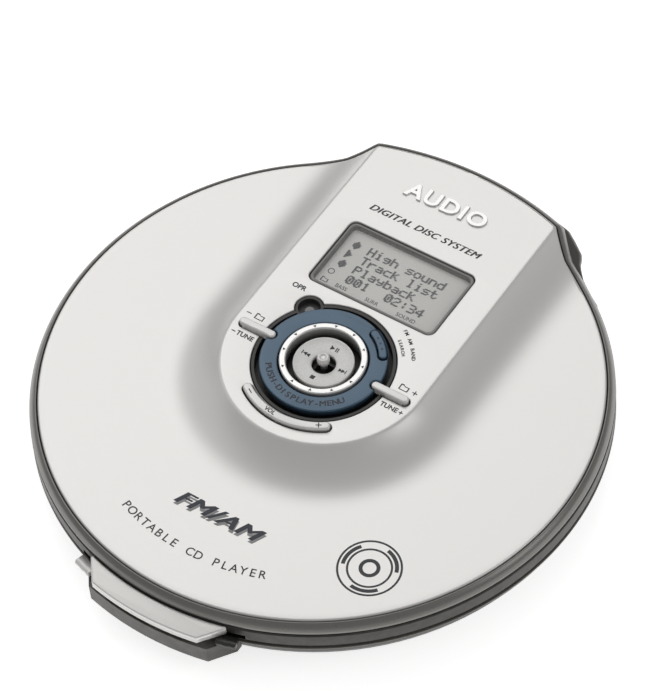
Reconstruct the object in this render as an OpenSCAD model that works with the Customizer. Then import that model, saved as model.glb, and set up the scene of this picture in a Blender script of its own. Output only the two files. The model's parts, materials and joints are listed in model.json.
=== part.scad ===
// Portable CD player: a round clamshell body with a hinged lid that carries the display and the controls.
// Frame: Z up, origin under the disc spindle on the standing plane, front latch towards -Y, hinge towards +Y.

/* [Body] */
// Radius of the side band
body_r = 68.2; // [64:0.2:80]
// Thickness of the case walls
wall = 1.6; // [1:0.1:2.4]
// Height of the seam between the two body halves
seam_z = 11; // [9.5:0.5:13]
// Height of the body's top deck
deck_z = 14.9; // [14.2:0.1:18]
// Gap between the lid and the deck
lid_gap = 0.2; // [0.1:0.05:0.5]

/* [Lid] */
// Height of the lid surface at its rim
lid_z = 18; // [17:0.5:23]
// How far the flat tongue stands above the rim of the lid
tongue_rise = 5.1; // [3:0.1:8]
// Half of the tongue's width
tongue_half = 25.1; // [22:0.1:30]
// Centre of the tongue's round front end
tongue_front_y = 3.5; // [-2:0.5:8]
// Width of the hollow skirt around the tongue
skirt_w = 15; // [10:0.5:20]
// Wall of the lid panel
lid_wall = 1.3; // [0.9:0.1:1.8]
// Greatest opening angle of the lid
lid_open = 55; // [40:1:56]

/* [Dial] */
// Centre of the dial along Y
dial_y = 1.6; // [-2:0.2:4]
// Radius of the dark recess around the dial
dial_well_r = 16.4; // [16:0.1:17]
// Outer radius of the blue bezel ring
bezel_r = 15; // [14.4:0.1:15.2]
// Outer radius of the turning ring
jog_r = 10.3; // [9.6:0.1:11]
// Radius of the fixed dish inside the turning ring
dish_r = 7.2; // [6.4:0.1:7.6]
// How far the push controls travel
press = 0.4; // [0.2:0.05:0.6]

/* [Display] */
// Width of the display window
lcd_w = 34.5; // [28:0.5:36]
// Depth of the display window
lcd_d = 20.2; // [16:0.2:22]
// Centre of the display window along Y
lcd_y = 30.8; // [29.5:0.2:34]
// Depth of the window's recess
lcd_sink = 2.6; // [1.6:0.1:3]

/* [Drive] */
// Radius of the disc
disc_r = 60; // [60:0.5:60]
// Height of the disc's seat on the turntable
disc_z = 12.9; // [12.6:0.1:13.2]
// Radius of the hub that the disc clips on
hub_r = 7.4; // [7.3:0.05:7.45]
// Lens radius with the sled fully in
sled_in = 24; // [23:0.5:25]
// Travel of the sled
sled_travel = 31; // [28:0.5:31]
// Radius of the guide rods
rod_r = 1; // [0.8:0.05:1.2]

/* [Battery bay] */
// Length of one flat cell
cell_l = 66; // [60:0.5:68]
// Width of the bay for two cells
bay_w = 33.5; // [30:0.5:34]
// Travel of the sliding battery cover
cover_travel = 40; // [10:1:44]

/* [Hidden] */
$fn = 96;

// clearances
gap = 0.25;              // between the lid panel and its ring, and around other fixed trim
run = 0.05;              // radial, of a shaft in its bearing
key_gap = 0.3;           // around a push control
eps = 0.01;

// body levels
foot_h = 0.6;
floor_z = foot_h + 1.8;
seam_w = 0.3;
well_r = disc_r + 1.2;
well_z = 11.2;
well_t = 1.2;
lid_bottom = deck_z + lid_gap;

// lid shell
lid_r = body_r - 2.2;
ring_r = body_r + 0.1;
tongue_z = lid_z + tongue_rise;
panel_z = lid_bottom + 1.3;
skirt_power = 2.2;
cover_z = lid_bottom + 0.5;
cover_t = 0.8;

// hinge end
bump_x = tongue_half - 0.1;
bump_y = lid_r - 2;
arc_r = 80;
arc_y = bump_y - sqrt(arc_r * arc_r - bump_x * bump_x);
flank_x = bump_x + 15.3;
flank_y = bump_y - 12.9;
flank_sag = 0.4;
body_grow = 3.9;
hinge_y = body_r - 4.1;
hinge_z = deck_z - 0.7;
barrel_r = 3.6;
barrel_half = 14.5;
bump_floor = 5.2;
ear_w = 3.6;
ear_gap = 0.2;
ear_end = barrel_half + ear_gap + ear_w;
deck_notch = 30;
pin_r = 1.2;
relief = 0.4;

// controls
bezel_z = tongue_z + 1;
bezel_in = jog_r + 0.35;
jog_z = tongue_z + 1.6;
jog_in = jog_r - 1.6;
dish_z = tongue_z - 0.1;
well_floor = tongue_z - 4.4;
key_z = tongue_z + 1;
lobe_a = 135;
lobe_d = 16.6;
lobe_r = 3.3;
led_r = 1.1;
bar_in = 13.4;
bar_out = 23.2;
bar_half = 1;
rocker_in = 17.7;
rocker_out = 19.8;
rocker_a = 35;
band_in = 12.8;
band_out = 14.7;
band_mid = 49;
band_a = 14;
stick_r = 1.5;
stick_z = tongue_z + 2;
pivot_z = tongue_z - 3.2;
board_z = cover_z + cover_t + 0.3;
board_t = 0.8;

// drive
motor_r = 9.5;
motor_z = floor_z + 1;
motor_h = 4.6;
shaft_r = 1;
table_r = 14.5;
hub_top = lid_bottom - 0.6;
chassis_z = 8.4;
chassis_t = 1;
rod_z = 6.6;
rod_y = 15.5;
screw_y = -21;
screw_r = 1.25;
motor_can_r = 3;
mech_x0 = -14;
mech_x1 = sled_in + sled_travel + 5.4;
mech_half = 25.5;
slot_half = 12;
sled_half = 10.5;
sled_back = 8.1;
sled_front = 4.9;
bearing_w = 8;

// battery bay
bay_x1 = -17;
bay_x0 = bay_x1 - bay_w;
bay_half = cell_l / 2 + 2;
tray_z = 9.8;
cover_half = bay_half + 1.4;
cover_top = floor_z - 0.15;
cover_x1 = bay_x1 + 0.6;

// jacks, measured round the body from +X
phone_a = 130;
power_a = 47;
jack_z = 7.2;
phone_r = 1.775;
power_r = 2;
nose_r = 2.8;
nose_out = body_r - 1.3;
jack_l = 12;

// circuit boards in the base
board_level = 4.6;
board_r = 51.8;

// front end
shelf_r = body_r + 5;
shelf_z = deck_z - 0.4;
shelf_t = 1.4;
shelf_half_in = 19.4;
shelf_half_out = 14.2;
knob_a = 15.6;
knob_d = body_r + 2.2;
knob_w = 4.8;
knob_z = seam_z + seam_w + 0.2;
knob_h = 1.4;
knob_travel = 2;

function skirt_z(d) = lid_z + tongue_rise * pow(1 - d / skirt_w, skirt_power);

// outline of the hinge end: straight sides flare back to an arc, grown outwards by g
function mix(a, b, t) = a + (b - a) * t;
function flank(g, t) = [
    mix(flank_x + 0.62 * g, bump_x + 0.497 * g, t) - flank_sag * 4 * t * (1 - t),
    mix(flank_y + 0.785 * g, bump_y + 0.889 * g, t) - flank_sag * 4 * t * (1 - t)
];
function back(g, t) = let (
    corner = flank(g, 1),
    a = atan2(corner[1] - arc_y, corner[0]),
    b = mix(a, 180 - a, t)
) [(arc_r + g) * cos(b), arc_y + (arc_r + g) * sin(b)];
function mirrored(p) = [-p[0], p[1]];

module bump_2d(g) {
    polygon(concat(
        [for (i = [0 : 5]) flank(g, i / 5)],
        [for (i = [1 : 9]) back(g, i / 10)],
        [for (i = [5 : -1 : 0]) mirrored(flank(g, i / 5))]
    ));
}

module plan_2d(r, g) {
    circle(r = r);
    bump_2d(g);
}

// a solid prism of the plan between two heights
module plan(r, g, z0, z1) {
    translate([0, 0, z0])
        linear_extrude(z1 - z0) plan_2d(r, g);
}

// everything under the lid's top surface: the flat tongue, its hollow skirt and the level rim
module lid_mass(drop, inset, z0) {
    steps = 10;
    half = concat(
        [[0, z0], [tongue_half + skirt_w - drop, z0]],
        [for (i = [steps : -1 : 0]) [
            tongue_half - drop * 0.4 + skirt_w * i / steps, skirt_z(skirt_w * i / steps) - drop]],
        [[0, tongue_z - drop]]
    );
    intersection() {
        plan(lid_r - inset, -inset, z0, tongue_z + 1);
        union() {
            translate([0, 0, z0])
                cylinder(r = lid_r + 20, h = lid_z - drop - z0);
            translate([0, tongue_front_y, 0])
                rotate_extrude() polygon(half);
            translate([0, tongue_front_y, 0])
                rotate([90, 0, 180])
                    linear_extrude(lid_r) union() {
                        polygon(half);
                        mirror([1, 0, 0]) polygon(half);
                    }
        }
    }
}

// a ring sector about the dial, with square ends
module sector(r0, r1, a, half_a, z0, z1) {
    translate([0, dial_y, z0])
        intersection() {
            difference() {
                cylinder(r = r1, h = z1 - z0);
                translate([0, 0, -1]) cylinder(r = r0, h = z1 - z0 + 2);
            }
            rotate([0, 0, a])
                linear_extrude(z1 - z0) polygon([
                    [0, 0], 2 * r1 * [cos(half_a), -sin(half_a)],
                    2 * r1 * [1.2, 0], 2 * r1 * [cos(half_a), sin(half_a)]]);
        }
}

// the same with round ends
module round_sector(r0, r1, a, half_a, z0, z1) {
    sector(r0, r1, a, half_a, z0, z1);
    for (side = [-1, 1])
        translate([0, dial_y, z0])
            rotate([0, 0, a + side * half_a])
                translate([(r0 + r1) / 2, 0, 0]) cylinder(r = (r1 - r0) / 2 - 0.02, h = z1 - z0);
}

// a bar with round ends along X
module bar(x0, x1, half_w, z0, z1) {
    translate([x0 + half_w, dial_y - half_w, z0])
        cube([x1 - x0 - 2 * half_w, 2 * half_w, z1 - z0]);
    for (x = [x0 + half_w, x1 - half_w])
        translate([x, dial_y, z0]) cylinder(r = half_w, h = z1 - z0);
}

module rounded_box(w, d, r, z0, z1) {
    translate([0, 0, z0])
        linear_extrude(z1 - z0) union() {
            square([w - 2 * r, d], center = true);
            square([w, d - 2 * r], center = true);
            for (x = [-1, 1], y = [-1, 1])
                translate([x * (w / 2 - r), y * (d / 2 - r)]) circle(r = r);
        }
}

// wire coil along Z with n turns of pitch p
module coil(r, wire, p, n) {
    per = 12;
    sides = 6;
    rings = per * n;
    points = [for (i = [0 : rings], j = [0 : sides - 1])
        let (a = 360 * i / per, b = 360 * j / sides)
        [(r + wire * cos(b)) * cos(a), (r + wire * cos(b)) * sin(a), p * i / per + wire * sin(b)]];
    walls = [for (i = [0 : rings - 1], j = [0 : sides - 1])
        let (k = (j + 1) % sides)
        [i * sides + j, i * sides + k, (i + 1) * sides + k, (i + 1) * sides + j]];
    polyhedron(points, concat(
        walls,
        [[for (j = [sides - 1 : -1 : 0]) j], [for (j = [0 : sides - 1]) rings * sides + j]]
    ));
}

module hinge_rod(r, x0, x1) {
    translate([x0, hinge_y, hinge_z])
        rotate([0, 90, 0]) cylinder(r = r, h = x1 - x0);
}

// ---------------------------------------------------------------- lid

module lid_openings() {
    translate([0, dial_y, well_floor])
        cylinder(r = dial_well_r + gap + 0.4, h = 20);
    rotate_about_dial(lobe_a) translate([lobe_d, 0, well_floor])
        cylinder(r = lobe_r + gap, h = 20);
    translate([0, lcd_y, 0])
        rounded_box(lcd_w + 2 * gap, lcd_d + 2 * gap, 2, well_floor, tongue_z + 2);
    for (side = [0, 1])
        mirror([side, 0, 0])
            bar(bar_in - key_gap, bar_out + key_gap, bar_half + key_gap, well_floor, tongue_z + 2);
    round_sector(rocker_in - key_gap, rocker_out + key_gap, -90, rocker_a, well_floor, tongue_z + 2);
}

module rotate_about_dial(a) {
    translate([0, dial_y, 0]) rotate([0, 0, a]) children();
}

module lid_panel() {
    color([0.88, 0.87, 0.85])
        difference() {
            lid_mass(0, 0, panel_z);
            lid_mass(lid_wall, lid_wall, panel_z - 1);
            lid_openings();
            hinge_rod(barrel_r + relief, -ear_end - relief, ear_end + relief);
        }
}

module lid_ring() {
    ledge = 3;
    color([0.6, 0.6, 0.59])
        difference() {
            union() {
                difference() {
                    rotate_extrude() polygon([
                        [lid_r - ledge, lid_bottom], [ring_r - 0.3, lid_bottom],
                        [ring_r, lid_bottom + 0.6], [lid_r + gap + 0.3, lid_z - 0.1],
                        [lid_r + gap, lid_z - 0.1], [lid_r + gap, panel_z - 0.1],
                        [lid_r - ledge, panel_z - 0.1]]);
                    translate([0, 0, lid_bottom - 1])
                        linear_extrude(6) bump_2d(gap);
                }
                intersection() {
                    difference() {
                        plan(lid_r, 2, lid_bottom, lid_z - 0.1);
                        plan(lid_r - ledge, -ledge, lid_bottom - 1, lid_z);
                        plan(lid_r + gap, gap, panel_z - 0.1, lid_z);
                    }
                    translate([-60, flank_y - 2, 0]) cube([120, 40, 30]);
                }
            }
            hinge_rod(barrel_r + relief, -ear_end - relief, ear_end + relief);
        }
}

module lid_inner_cover() {
    color([0.35, 0.35, 0.34])
        difference() {
            union() {
                translate([0, 0, cover_z])
                    cylinder(r = lid_r - 3.3, h = cover_t);
                translate([0, 0, cover_z - 0.4])
                    difference() {
                        cylinder(r = 18, h = 0.5);
                        translate([0, 0, -1]) cylinder(r = 17, h = 3);
                    }
            }
            translate([-ear_end - 0.5, hinge_y - 6.4, cover_z - 1])
                cube([2 * ear_end + 1, 20, 4]);
        }
}

module hinge_barrel() {
    color([0.3, 0.3, 0.29])
        difference() {
            union() {
                hinge_rod(barrel_r, -barrel_half, barrel_half);
                translate([-barrel_half, hinge_y - 6.2, lid_bottom])
                    cube([2 * barrel_half, 8, panel_z - lid_bottom - 0.1]);
            }
            hinge_rod(pin_r + run, -barrel_half - 1, barrel_half + 1);
            for (side = [0, 1])
                mirror([side, 0, 0])
                    hinge_rod(pin_r + 1.4, barrel_half - 6, barrel_half + 1);
        }
}

module latch_catch() {
    color([0.3, 0.3, 0.29])
        difference() {
            translate([-5, -lid_r + 2.9, lid_bottom - 3.2])
                cube([10, 1.4, 3.2]);
            translate([-3.2, -lid_r + 2, lid_bottom - 2.4])
                cube([6.4, 4, 1.4]);
        }
}

module lobe(r, z0, z1) {
    rotate_about_dial(lobe_a)
        translate([lobe_d, 0, z0]) cylinder(r = r, h = z1 - z0);
}

module dial_well() {
    color([0.3, 0.29, 0.28])
        difference() {
            union() {
                translate([0, dial_y, well_floor])
                    difference() {
                        cylinder(r = dial_well_r + 0.4, h = tongue_z - well_floor - 0.15);
                        translate([0, 0, 0.8]) cylinder(r = dial_well_r - 0.3, h = 10);
                    }
                difference() {
                    lobe(lobe_r, well_floor, tongue_z - 0.15);
                    translate([0, dial_y, well_floor - 1]) cylinder(r = bezel_r + 0.25, h = 10);
                }
            }
            lobe(lobe_r - 0.6, tongue_z - 1.6, tongue_z + 2);
            lobe(led_r + 0.02, well_floor + 1, tongue_z + 2);
            translate([0, dial_y, well_floor - 1])
                cylinder(r = dish_r - 0.6, h = 10);
            for (side = [0, 1])
                mirror([side, 0, 0])
                    bar(bar_in - key_gap, bar_out + key_gap, bar_half + key_gap, well_floor - 1, 40);
            sector(band_in + 0.4, band_out - 0.4, band_mid, band_a - 4, well_floor - 1, well_floor + 3);
            sector(jog_in + 0.2, jog_r - 0.2, 90, 6, well_floor - 1, well_floor + 3);
            sector(jog_in + 0.2, jog_r - 0.2, -90, 6, well_floor - 1, well_floor + 3);
        }
}

module dial_bezel() {
    color([0.24, 0.33, 0.41])
        difference() {
            translate([0, dial_y, 0])
                rotate_extrude() polygon([
                    [bezel_in, well_floor + 0.8], [bezel_in + 0.8, well_floor + 0.8],
                    [bezel_in + 0.8, tongue_z - 0.8], [bezel_r - 0.5, tongue_z - 0.8],
                    [bezel_r, tongue_z - 0.3], [bezel_r - 0.1, bezel_z - 0.4],
                    [bezel_r - 0.6, bezel_z], [bezel_in + 0.3, bezel_z], [bezel_in, bezel_z - 0.2]]);
            for (side = [0, 1])
                mirror([side, 0, 0])
                    bar(bar_in - key_gap, bar_out + key_gap, bar_half + key_gap, tongue_z - 2, 40);
            round_sector(band_in - 0.2, band_out + 0.2, band_mid, band_a, tongue_z - 2, 40);
        }
}

module jog_ring() {
    notches = 12;
    color([0.93, 0.93, 0.92])
        translate([0, dial_y, 0])
            difference() {
                rotate_extrude() polygon([
                    [jog_in, well_floor + 2.4], [jog_r, well_floor + 2.4], [jog_r, jog_z - 0.3],
                    [jog_r - 0.3, jog_z], [jog_in + 0.3, jog_z - 0.1], [jog_in, jog_z - 0.5]]);
                for (i = [0 : notches - 1])
                    rotate([0, 0, 360 * i / notches + 15])
                        translate([jog_in - 0.4, -0.5, jog_z - 1.4])
                            cube([0.9, 1, 3]);
            }
}

module jog_carrier() {
    color([0.2, 0.2, 0.2])
        union() {
            translate([0, dial_y, well_floor + 1.4])
                difference() {
                    cylinder(r = jog_r - 0.1, h = 0.7);
                    translate([0, 0, -1]) cylinder(r = jog_in + 0.1, h = 3);
                }
            for (a = [90, -90])
                sector(jog_in + 0.5, jog_r - 0.5, a, 4, board_z + board_t + 0.8 + press, well_floor + 1.5);
        }
}

module dial_dish() {
    hub_hole = 2.8;
    color([0.9, 0.9, 0.88])
        translate([0, dial_y, 0])
            rotate_extrude() polygon([
                [hub_hole, dish_z - 1.5], [dish_r - 1.4, dish_z - 1.5], [dish_r - 1.4, board_z + board_t],
                [dish_r - 0.8, board_z + board_t], [dish_r - 0.8, dish_z - 1.5], [dish_r, dish_z - 1.5],
                [dish_r, dish_z + 0.4], [dish_r - 0.5, dish_z + 0.4], [dish_r - 2, dish_z - 0.1],
                [hub_hole + 0.8, dish_z - 0.5], [hub_hole, dish_z - 0.7]]);
}

module stick_gimbal() {
    color([0.55, 0.55, 0.55])
        translate([0, dial_y, pivot_z])
            difference() {
                union() {
                    cube([5.6, 4.4, 1.2], center = true);
                    rotate([0, 90, 0]) cylinder(r = 0.45, h = 7.2, center = true);
                }
                cube([3.8, 3, 3], center = true);
                rotate([90, 0, 0]) cylinder(r = 0.35 + run, h = 10, center = true);
            }
}

module stick_cap() {
    color([0.9, 0.9, 0.89])
        translate([0, dial_y, 0]) {
            difference() {
                rotate_extrude() polygon([
                    [0, pivot_z - 0.8], [0.9, pivot_z - 0.8], [0.9, stick_z - 2], [stick_r, stick_z - 1.6],
                    [stick_r, stick_z - 0.3], [stick_r - 0.3, stick_z], [0.7, stick_z], [0, stick_z - 0.25]]);
                }
            translate([0, 0, pivot_z])
                rotate([90, 0, 0]) cylinder(r = 0.35, h = 4.2, center = true);
        }
}

module stick_base() {
    z0 = board_z + board_t;
    color([0.2, 0.2, 0.2])
        translate([0, dial_y, z0])
            difference() {
                union() {
                    translate([-4.4, -3.6, 0]) cube([8.8, 7.2, 0.3]);
                    for (side = [-1, 1])
                        translate([side * 3.7 - 0.7, -1.6, 0]) cube([1.4, 3.2, pivot_z - z0 + 1]);
                }
                translate([0, 0, pivot_z - z0])
                    rotate([0, 90, 0]) cylinder(r = 0.45 + run, h = 12, center = true);
            }
}

module led_lens() {
    color([0.75, 0.75, 0.7])
        lobe(led_r, well_floor + 1.02, tongue_z - 1.2);
}

module band_button() {
    color([0.9, 0.9, 0.88])
        union() {
            round_sector(band_in, band_out, band_mid, band_a, bezel_z - 0.6, bezel_z + 0.5);
            sector(band_in + 0.6, band_out - 0.6, band_mid, band_a - 5,
                board_z + board_t + 0.8 + press, bezel_z);
        }
}

module bar_key() {
    union() {
        bar(bar_in, bar_out, bar_half, tongue_z - 0.6, key_z + 0.3);
        translate([bar_out - 4.5, dial_y - bar_half + 0.2, board_z + board_t + 0.8 + press])
            cube([2.4, 2 * bar_half - 0.4, tongue_z - board_z - 1.8]);
    }
}

module tune_plus_bar() {
    color([0.9, 0.9, 0.88]) bar_key();
}

module tune_minus_bar() {
    color([0.9, 0.9, 0.88]) mirror([1, 0, 0]) bar_key();
}

module volume_rocker() {
    color([0.9, 0.9, 0.88])
        union() {
            round_sector(rocker_in, rocker_out, -90, rocker_a, tongue_z - 0.7, key_z);
            for (side = [-1, 1])
                sector(rocker_in + 0.5, rocker_out - 0.5, -90 + side * (rocker_a - 8), 3,
                    board_z + board_t + 0.8 + press, tongue_z);
        }
}

module lcd_bezel() {
    z0 = tongue_z - lcd_sink - 0.5;
    color([0.2, 0.2, 0.2])
        translate([0, lcd_y, 0])
            difference() {
                rounded_box(lcd_w, lcd_d, 1.8, z0, tongue_z - 0.25);
                rounded_box(lcd_w - 1.2, lcd_d - 1.2, 1.4, z0 - 1, tongue_z + 1);
            }
}

module lcd_glass() {
    color([0.75, 0.8, 0.82, 0.4])
        translate([0, lcd_y, 0])
            rounded_box(lcd_w - 1.3, lcd_d - 1.3, 1.3, tongue_z - lcd_sink - 0.5, tongue_z - lcd_sink);
}

module lcd_panel() {
    z0 = board_z + board_t + 0.1;
    z1 = tongue_z - lcd_sink - 0.55;
    color([0.74, 0.73, 0.71])
        translate([-lcd_w / 2 - 0.4, lcd_y - lcd_d / 2 - 0.4, z0])
            cube([lcd_w + 0.8, lcd_d + 0.8, z1 - z0]);
}

module control_board() {
    color([0.15, 0.35, 0.2])
        difference() {
            translate([-tongue_half + 2.5, -18.6, board_z])
                cube([2 * tongue_half - 5, 62, board_t]);
            for (x = [-1, 1])
                translate([x * 18, 42.2, board_z - 1]) cylinder(r = 1.1, h = 3);
        }
}

module key_switch(x, y) {
    z0 = board_z + board_t;
    translate([x - 1.3, y - 1, z0]) cube([2.6, 2, 0.5]);
    translate([x, y, z0 + 0.5]) cylinder(r = 0.6, h = 0.25);
}

module key_switches() {
    jog_mid = (jog_in + jog_r) / 2;
    rocker_mid = (rocker_in + rocker_out) / 2;
    band_c = (band_in + band_out) / 2;
    color([0.7, 0.7, 0.68])
        union() {
            for (side = [-1, 1]) {
                key_switch(side * (bar_out - 3.3), dial_y);
                key_switch(0, dial_y + side * jog_mid);
                key_switch(side * rocker_mid * sin(rocker_a - 8), dial_y - rocker_mid * cos(rocker_a - 8));
            }
            key_switch(band_c * cos(band_mid), dial_y + band_c * sin(band_mid));
        }
}

// ---------------------------------------------------------------- body

module deck_slots() {
    translate([-5.6, -lid_r + 2.1, well_z - 3])
        cube([11.2, 3, 10]);
}

module upper_case() {
    z0 = seam_z + seam_w;
    color([0.26, 0.25, 0.23])
        difference() {
            union() {
                rotate_extrude() polygon([
                    [0, well_z - well_t], [well_r + wall, well_z - well_t], [well_r + wall, deck_z - wall],
                    [body_r - wall, deck_z - wall], [body_r - wall, z0], [body_r, z0],
                    [body_r, deck_z - 0.3], [body_r - 0.3, deck_z], [well_r, deck_z], [well_r, well_z],
                    [0, well_z]]);
                intersection() {
                    difference() {
                        translate([0, 0, z0]) cylinder(r = shelf_r - 0.8, h = shelf_z - shelf_t - 0.05 - z0);
                        translate([0, 0, z0 - 1]) cylinder(r = body_r - 0.4, h = 10);
                    }
                    shelf_wedge(-4.5, z0, 20);
                }
                bump_wall(body_grow - 0.4, wall, z0, deck_z - 0.1);
                bump_plate(body_grow - 0.5, deck_z - wall, deck_z - 0.1);
            }
            translate([-ear_end - 0.4, hinge_y - barrel_r - 0.8, well_z - 3])
                cube([2 * (ear_end + 0.4), 20, 20]);
            translate([-deck_notch, hinge_y - 1.7, well_z - 3])
                cube([2 * deck_notch, 20, 20]);
            intersection() {
                translate([mech_x0, -mech_half, well_z - 3])
                    cube([mech_x1 - mech_x0, 2 * mech_half, 10]);
                translate([0, 0, well_z - 4]) cylinder(r = well_r - 0.4, h = 12);
            }
            deck_slots();
            switch_place() cylinder(r = 1.1, h = 20);
            front_cut();
        }
}

// slots in the front wall for the stems of the two sliders
module front_cut() {
    for (side = [0, 1])
        mirror([side, 0, 0])
            rotate([0, 0, -90 + knob_a])
                translate([body_r - 3, -2 - knob_travel, knob_z - 0.2]) cube([6, 4 + 2 * knob_travel, 1.4]);
}

module case_shell_2d() {
    polygon([
        [0, foot_h], [57, foot_h], [60.5, foot_h + 0.3], [63.3, 2.1], [65.7, 4.5], [67.2, 7.4],
        [body_r - 0.5, 9.2], [body_r - 0.5, seam_z], [body_r - 0.5 - wall, seam_z],
        [body_r - 0.5 - wall, 9], [67.2 - wall, 7.4], [65.7 - wall, 4.9], [61.6, 3.1],
        [58.5, floor_z], [0, floor_z]]);
}

// wall of the hinge end outside the round body, grown by g and t thick
module bump_wall(g, t, z0, z1) {
    translate([0, 0, z0])
        linear_extrude(z1 - z0) difference() {
            bump_2d(g);
            bump_2d(g - t);
            circle(r = body_r - 1.2);
        }
}

// level plate of the hinge end outside the round body
module bump_plate(g, z0, z1) {
    translate([0, 0, z0])
        linear_extrude(z1 - z0) difference() {
            bump_2d(g);
            circle(r = body_r - 3);
        }
}

// room for the hinge bracket and the lid's barrel
module hinge_room(z0) {
    half = ear_end + 0.4;
    front = hinge_y - barrel_r - 0.8;
    translate([-half, front, z0])
        cube([2 * half, body_r - 0.3 - front, 20]);
}

module bottom_mass() {
    union() {
        difference() {
            rotate_extrude() case_shell_2d();
            hinge_room(bump_floor);
        }
        difference() {
            bump_plate(body_grow - 0.1, bump_floor - 1.2, bump_floor);
            cylinder(r = 64.2, h = 10);
        }
        bump_wall(body_grow, wall, bump_floor - 0.6, seam_z);
        intersection() {
            difference() {
                translate([0, 0, 6]) cylinder(r = shelf_r - 0.3, h = seam_z - 6);
                translate([0, 0, 5]) cylinder(r = body_r - 1.3, h = 10);
            }
            shelf_wedge(0.8, 6, seam_z);
        }
    }
}

module shelf_wedge(g, z0, z1) {
    translate([0, 0, z0])
        linear_extrude(z1 - z0) polygon([
            [-shelf_half_in - g, -62], [-shelf_half_in - g, -65.5], [-shelf_half_out - g, -72.6],
            [-shelf_half_out + 1, -80], [shelf_half_out - 1, -80], [shelf_half_out + g, -72.6],
            [shelf_half_in + g, -65.5], [shelf_half_in + g, -62]]);
}

module bottom_case() {
    color([0.33, 0.32, 0.3])
        difference() {
            bottom_mass();
            translate([-90, -cover_half - 0.15, -1])
                cube([90 + cover_x1 + 0.15, 2 * cover_half + 0.3, floor_z + 1 + eps]);
            for (a = [phone_a, power_a])
                rotate([0, 0, a])
                    translate([55, 0, jack_z]) rotate([0, 90, 0]) cylinder(r = nose_r + 0.1, h = 30);
            screw_places() cylinder(r = 1.1, h = 6, center = true);
        }
}

// where the case screws go up through the bottom
module screw_places() {
    for (a = [35, 90, -40, -112, 112])
        rotate([0, 0, a])
            translate([53.5, 0, foot_h]) children();
}

module front_shelf() {
    color([0.8, 0.79, 0.77])
        intersection() {
            difference() {
                translate([0, 0, shelf_z - shelf_t]) cylinder(r = shelf_r, h = shelf_t);
                translate([0, 0, seam_z]) cylinder(r = body_r + 0.05, h = 10);
            }
            shelf_wedge(0, seam_z, 20);
        }
}

module hinge_bracket() {
    foot_back = 2.1;
    x0 = barrel_half + ear_gap;
    z0 = bump_floor + 0.1;
    color([0.3, 0.3, 0.29])
        difference() {
            union() {
                for (side = [0, 1])
                    mirror([side, 0, 0]) {
                        hinge_rod(barrel_r, x0, ear_end);
                        translate([x0, hinge_y - barrel_r, z0]) cube([ear_w, barrel_r + foot_back, hinge_z - z0]);
                    }
                translate([-ear_end, hinge_y - barrel_r, z0])
                    cube([2 * ear_end, 2 * barrel_r - 0.8, 1.4]);
            }
            hinge_rod(pin_r, -40, 40);
        }
}

module hinge_pins() {
    color([0.75, 0.75, 0.76])
        for (side = [0, 1])
            mirror([side, 0, 0])
                hinge_rod(pin_r, barrel_half - 10, ear_end - 0.2);
}

module hinge_springs() {
    color([0.7, 0.7, 0.7])
        for (side = [0, 1])
            mirror([side, 0, 0])
                translate([barrel_half - 5.4, hinge_y, hinge_z])
                    rotate([0, 90, 0]) coil(pin_r + 0.75, 0.28, 0.72, 7);
}

// ---------------------------------------------------------------- drive

module turntable() {
    z0 = disc_z - 1.6;
    color([0.2, 0.2, 0.2])
        difference() {
            union() {
                translate([0, 0, z0]) cylinder(r = table_r, h = 1.3);
                translate([0, 0, z0 + 1.3])
                    difference() {
                        cylinder(r = table_r, h = 0.3);
                        translate([0, 0, -1]) cylinder(r = table_r - 4, h = 3);
                    }
            }
            translate([0, 0, z0 - 1]) cylinder(r = shaft_r, h = 5);
        }
}

module hub() {
    z0 = disc_z - 0.3;
    color([0.85, 0.85, 0.84])
        difference() {
            translate([0, 0, z0])
                rotate_extrude() polygon([
                    [0, 0], [hub_r, 0], [hub_r, disc_z + 1.2 - z0], [hub_r - 0.9, hub_top - z0],
                    [2.2, hub_top - z0], [2, hub_top - z0 - 0.3], [0, hub_top - z0 - 0.3]]);
            translate([0, 0, z0 - 1]) cylinder(r = shaft_r, h = 2);
            for (a = [90, 210, 330])
                rotate([0, 0, a])
                    translate([hub_r - 0.9, 0, disc_z + 1.0]) sphere(r = 0.95, $fn = 48);
        }
}

module chuck_balls() {
    color([0.8, 0.8, 0.8])
        for (a = [90, 210, 330])
            rotate([0, 0, a])
                translate([hub_r - 0.9, 0, disc_z + 1.0]) sphere(r = 0.9, $fn = 48);
}

module spindle_motor() {
    color([0.6, 0.6, 0.62])
        difference() {
            union() {
                translate([0, 0, motor_z]) cylinder(r = motor_r, h = motor_h);
                translate([0, 0, motor_z + motor_h]) cylinder(r = 2.6, h = 0.7);
            }
            translate([0, 0, motor_z - 1]) cylinder(r = shaft_r + run, h = motor_h + 5);
        }
}

module spindle_shaft() {
    color([0.8, 0.8, 0.82])
        translate([0, 0, motor_z + 0.4])
            cylinder(r = shaft_r, h = disc_z + 0.6 - motor_z - 0.4);
}

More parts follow.
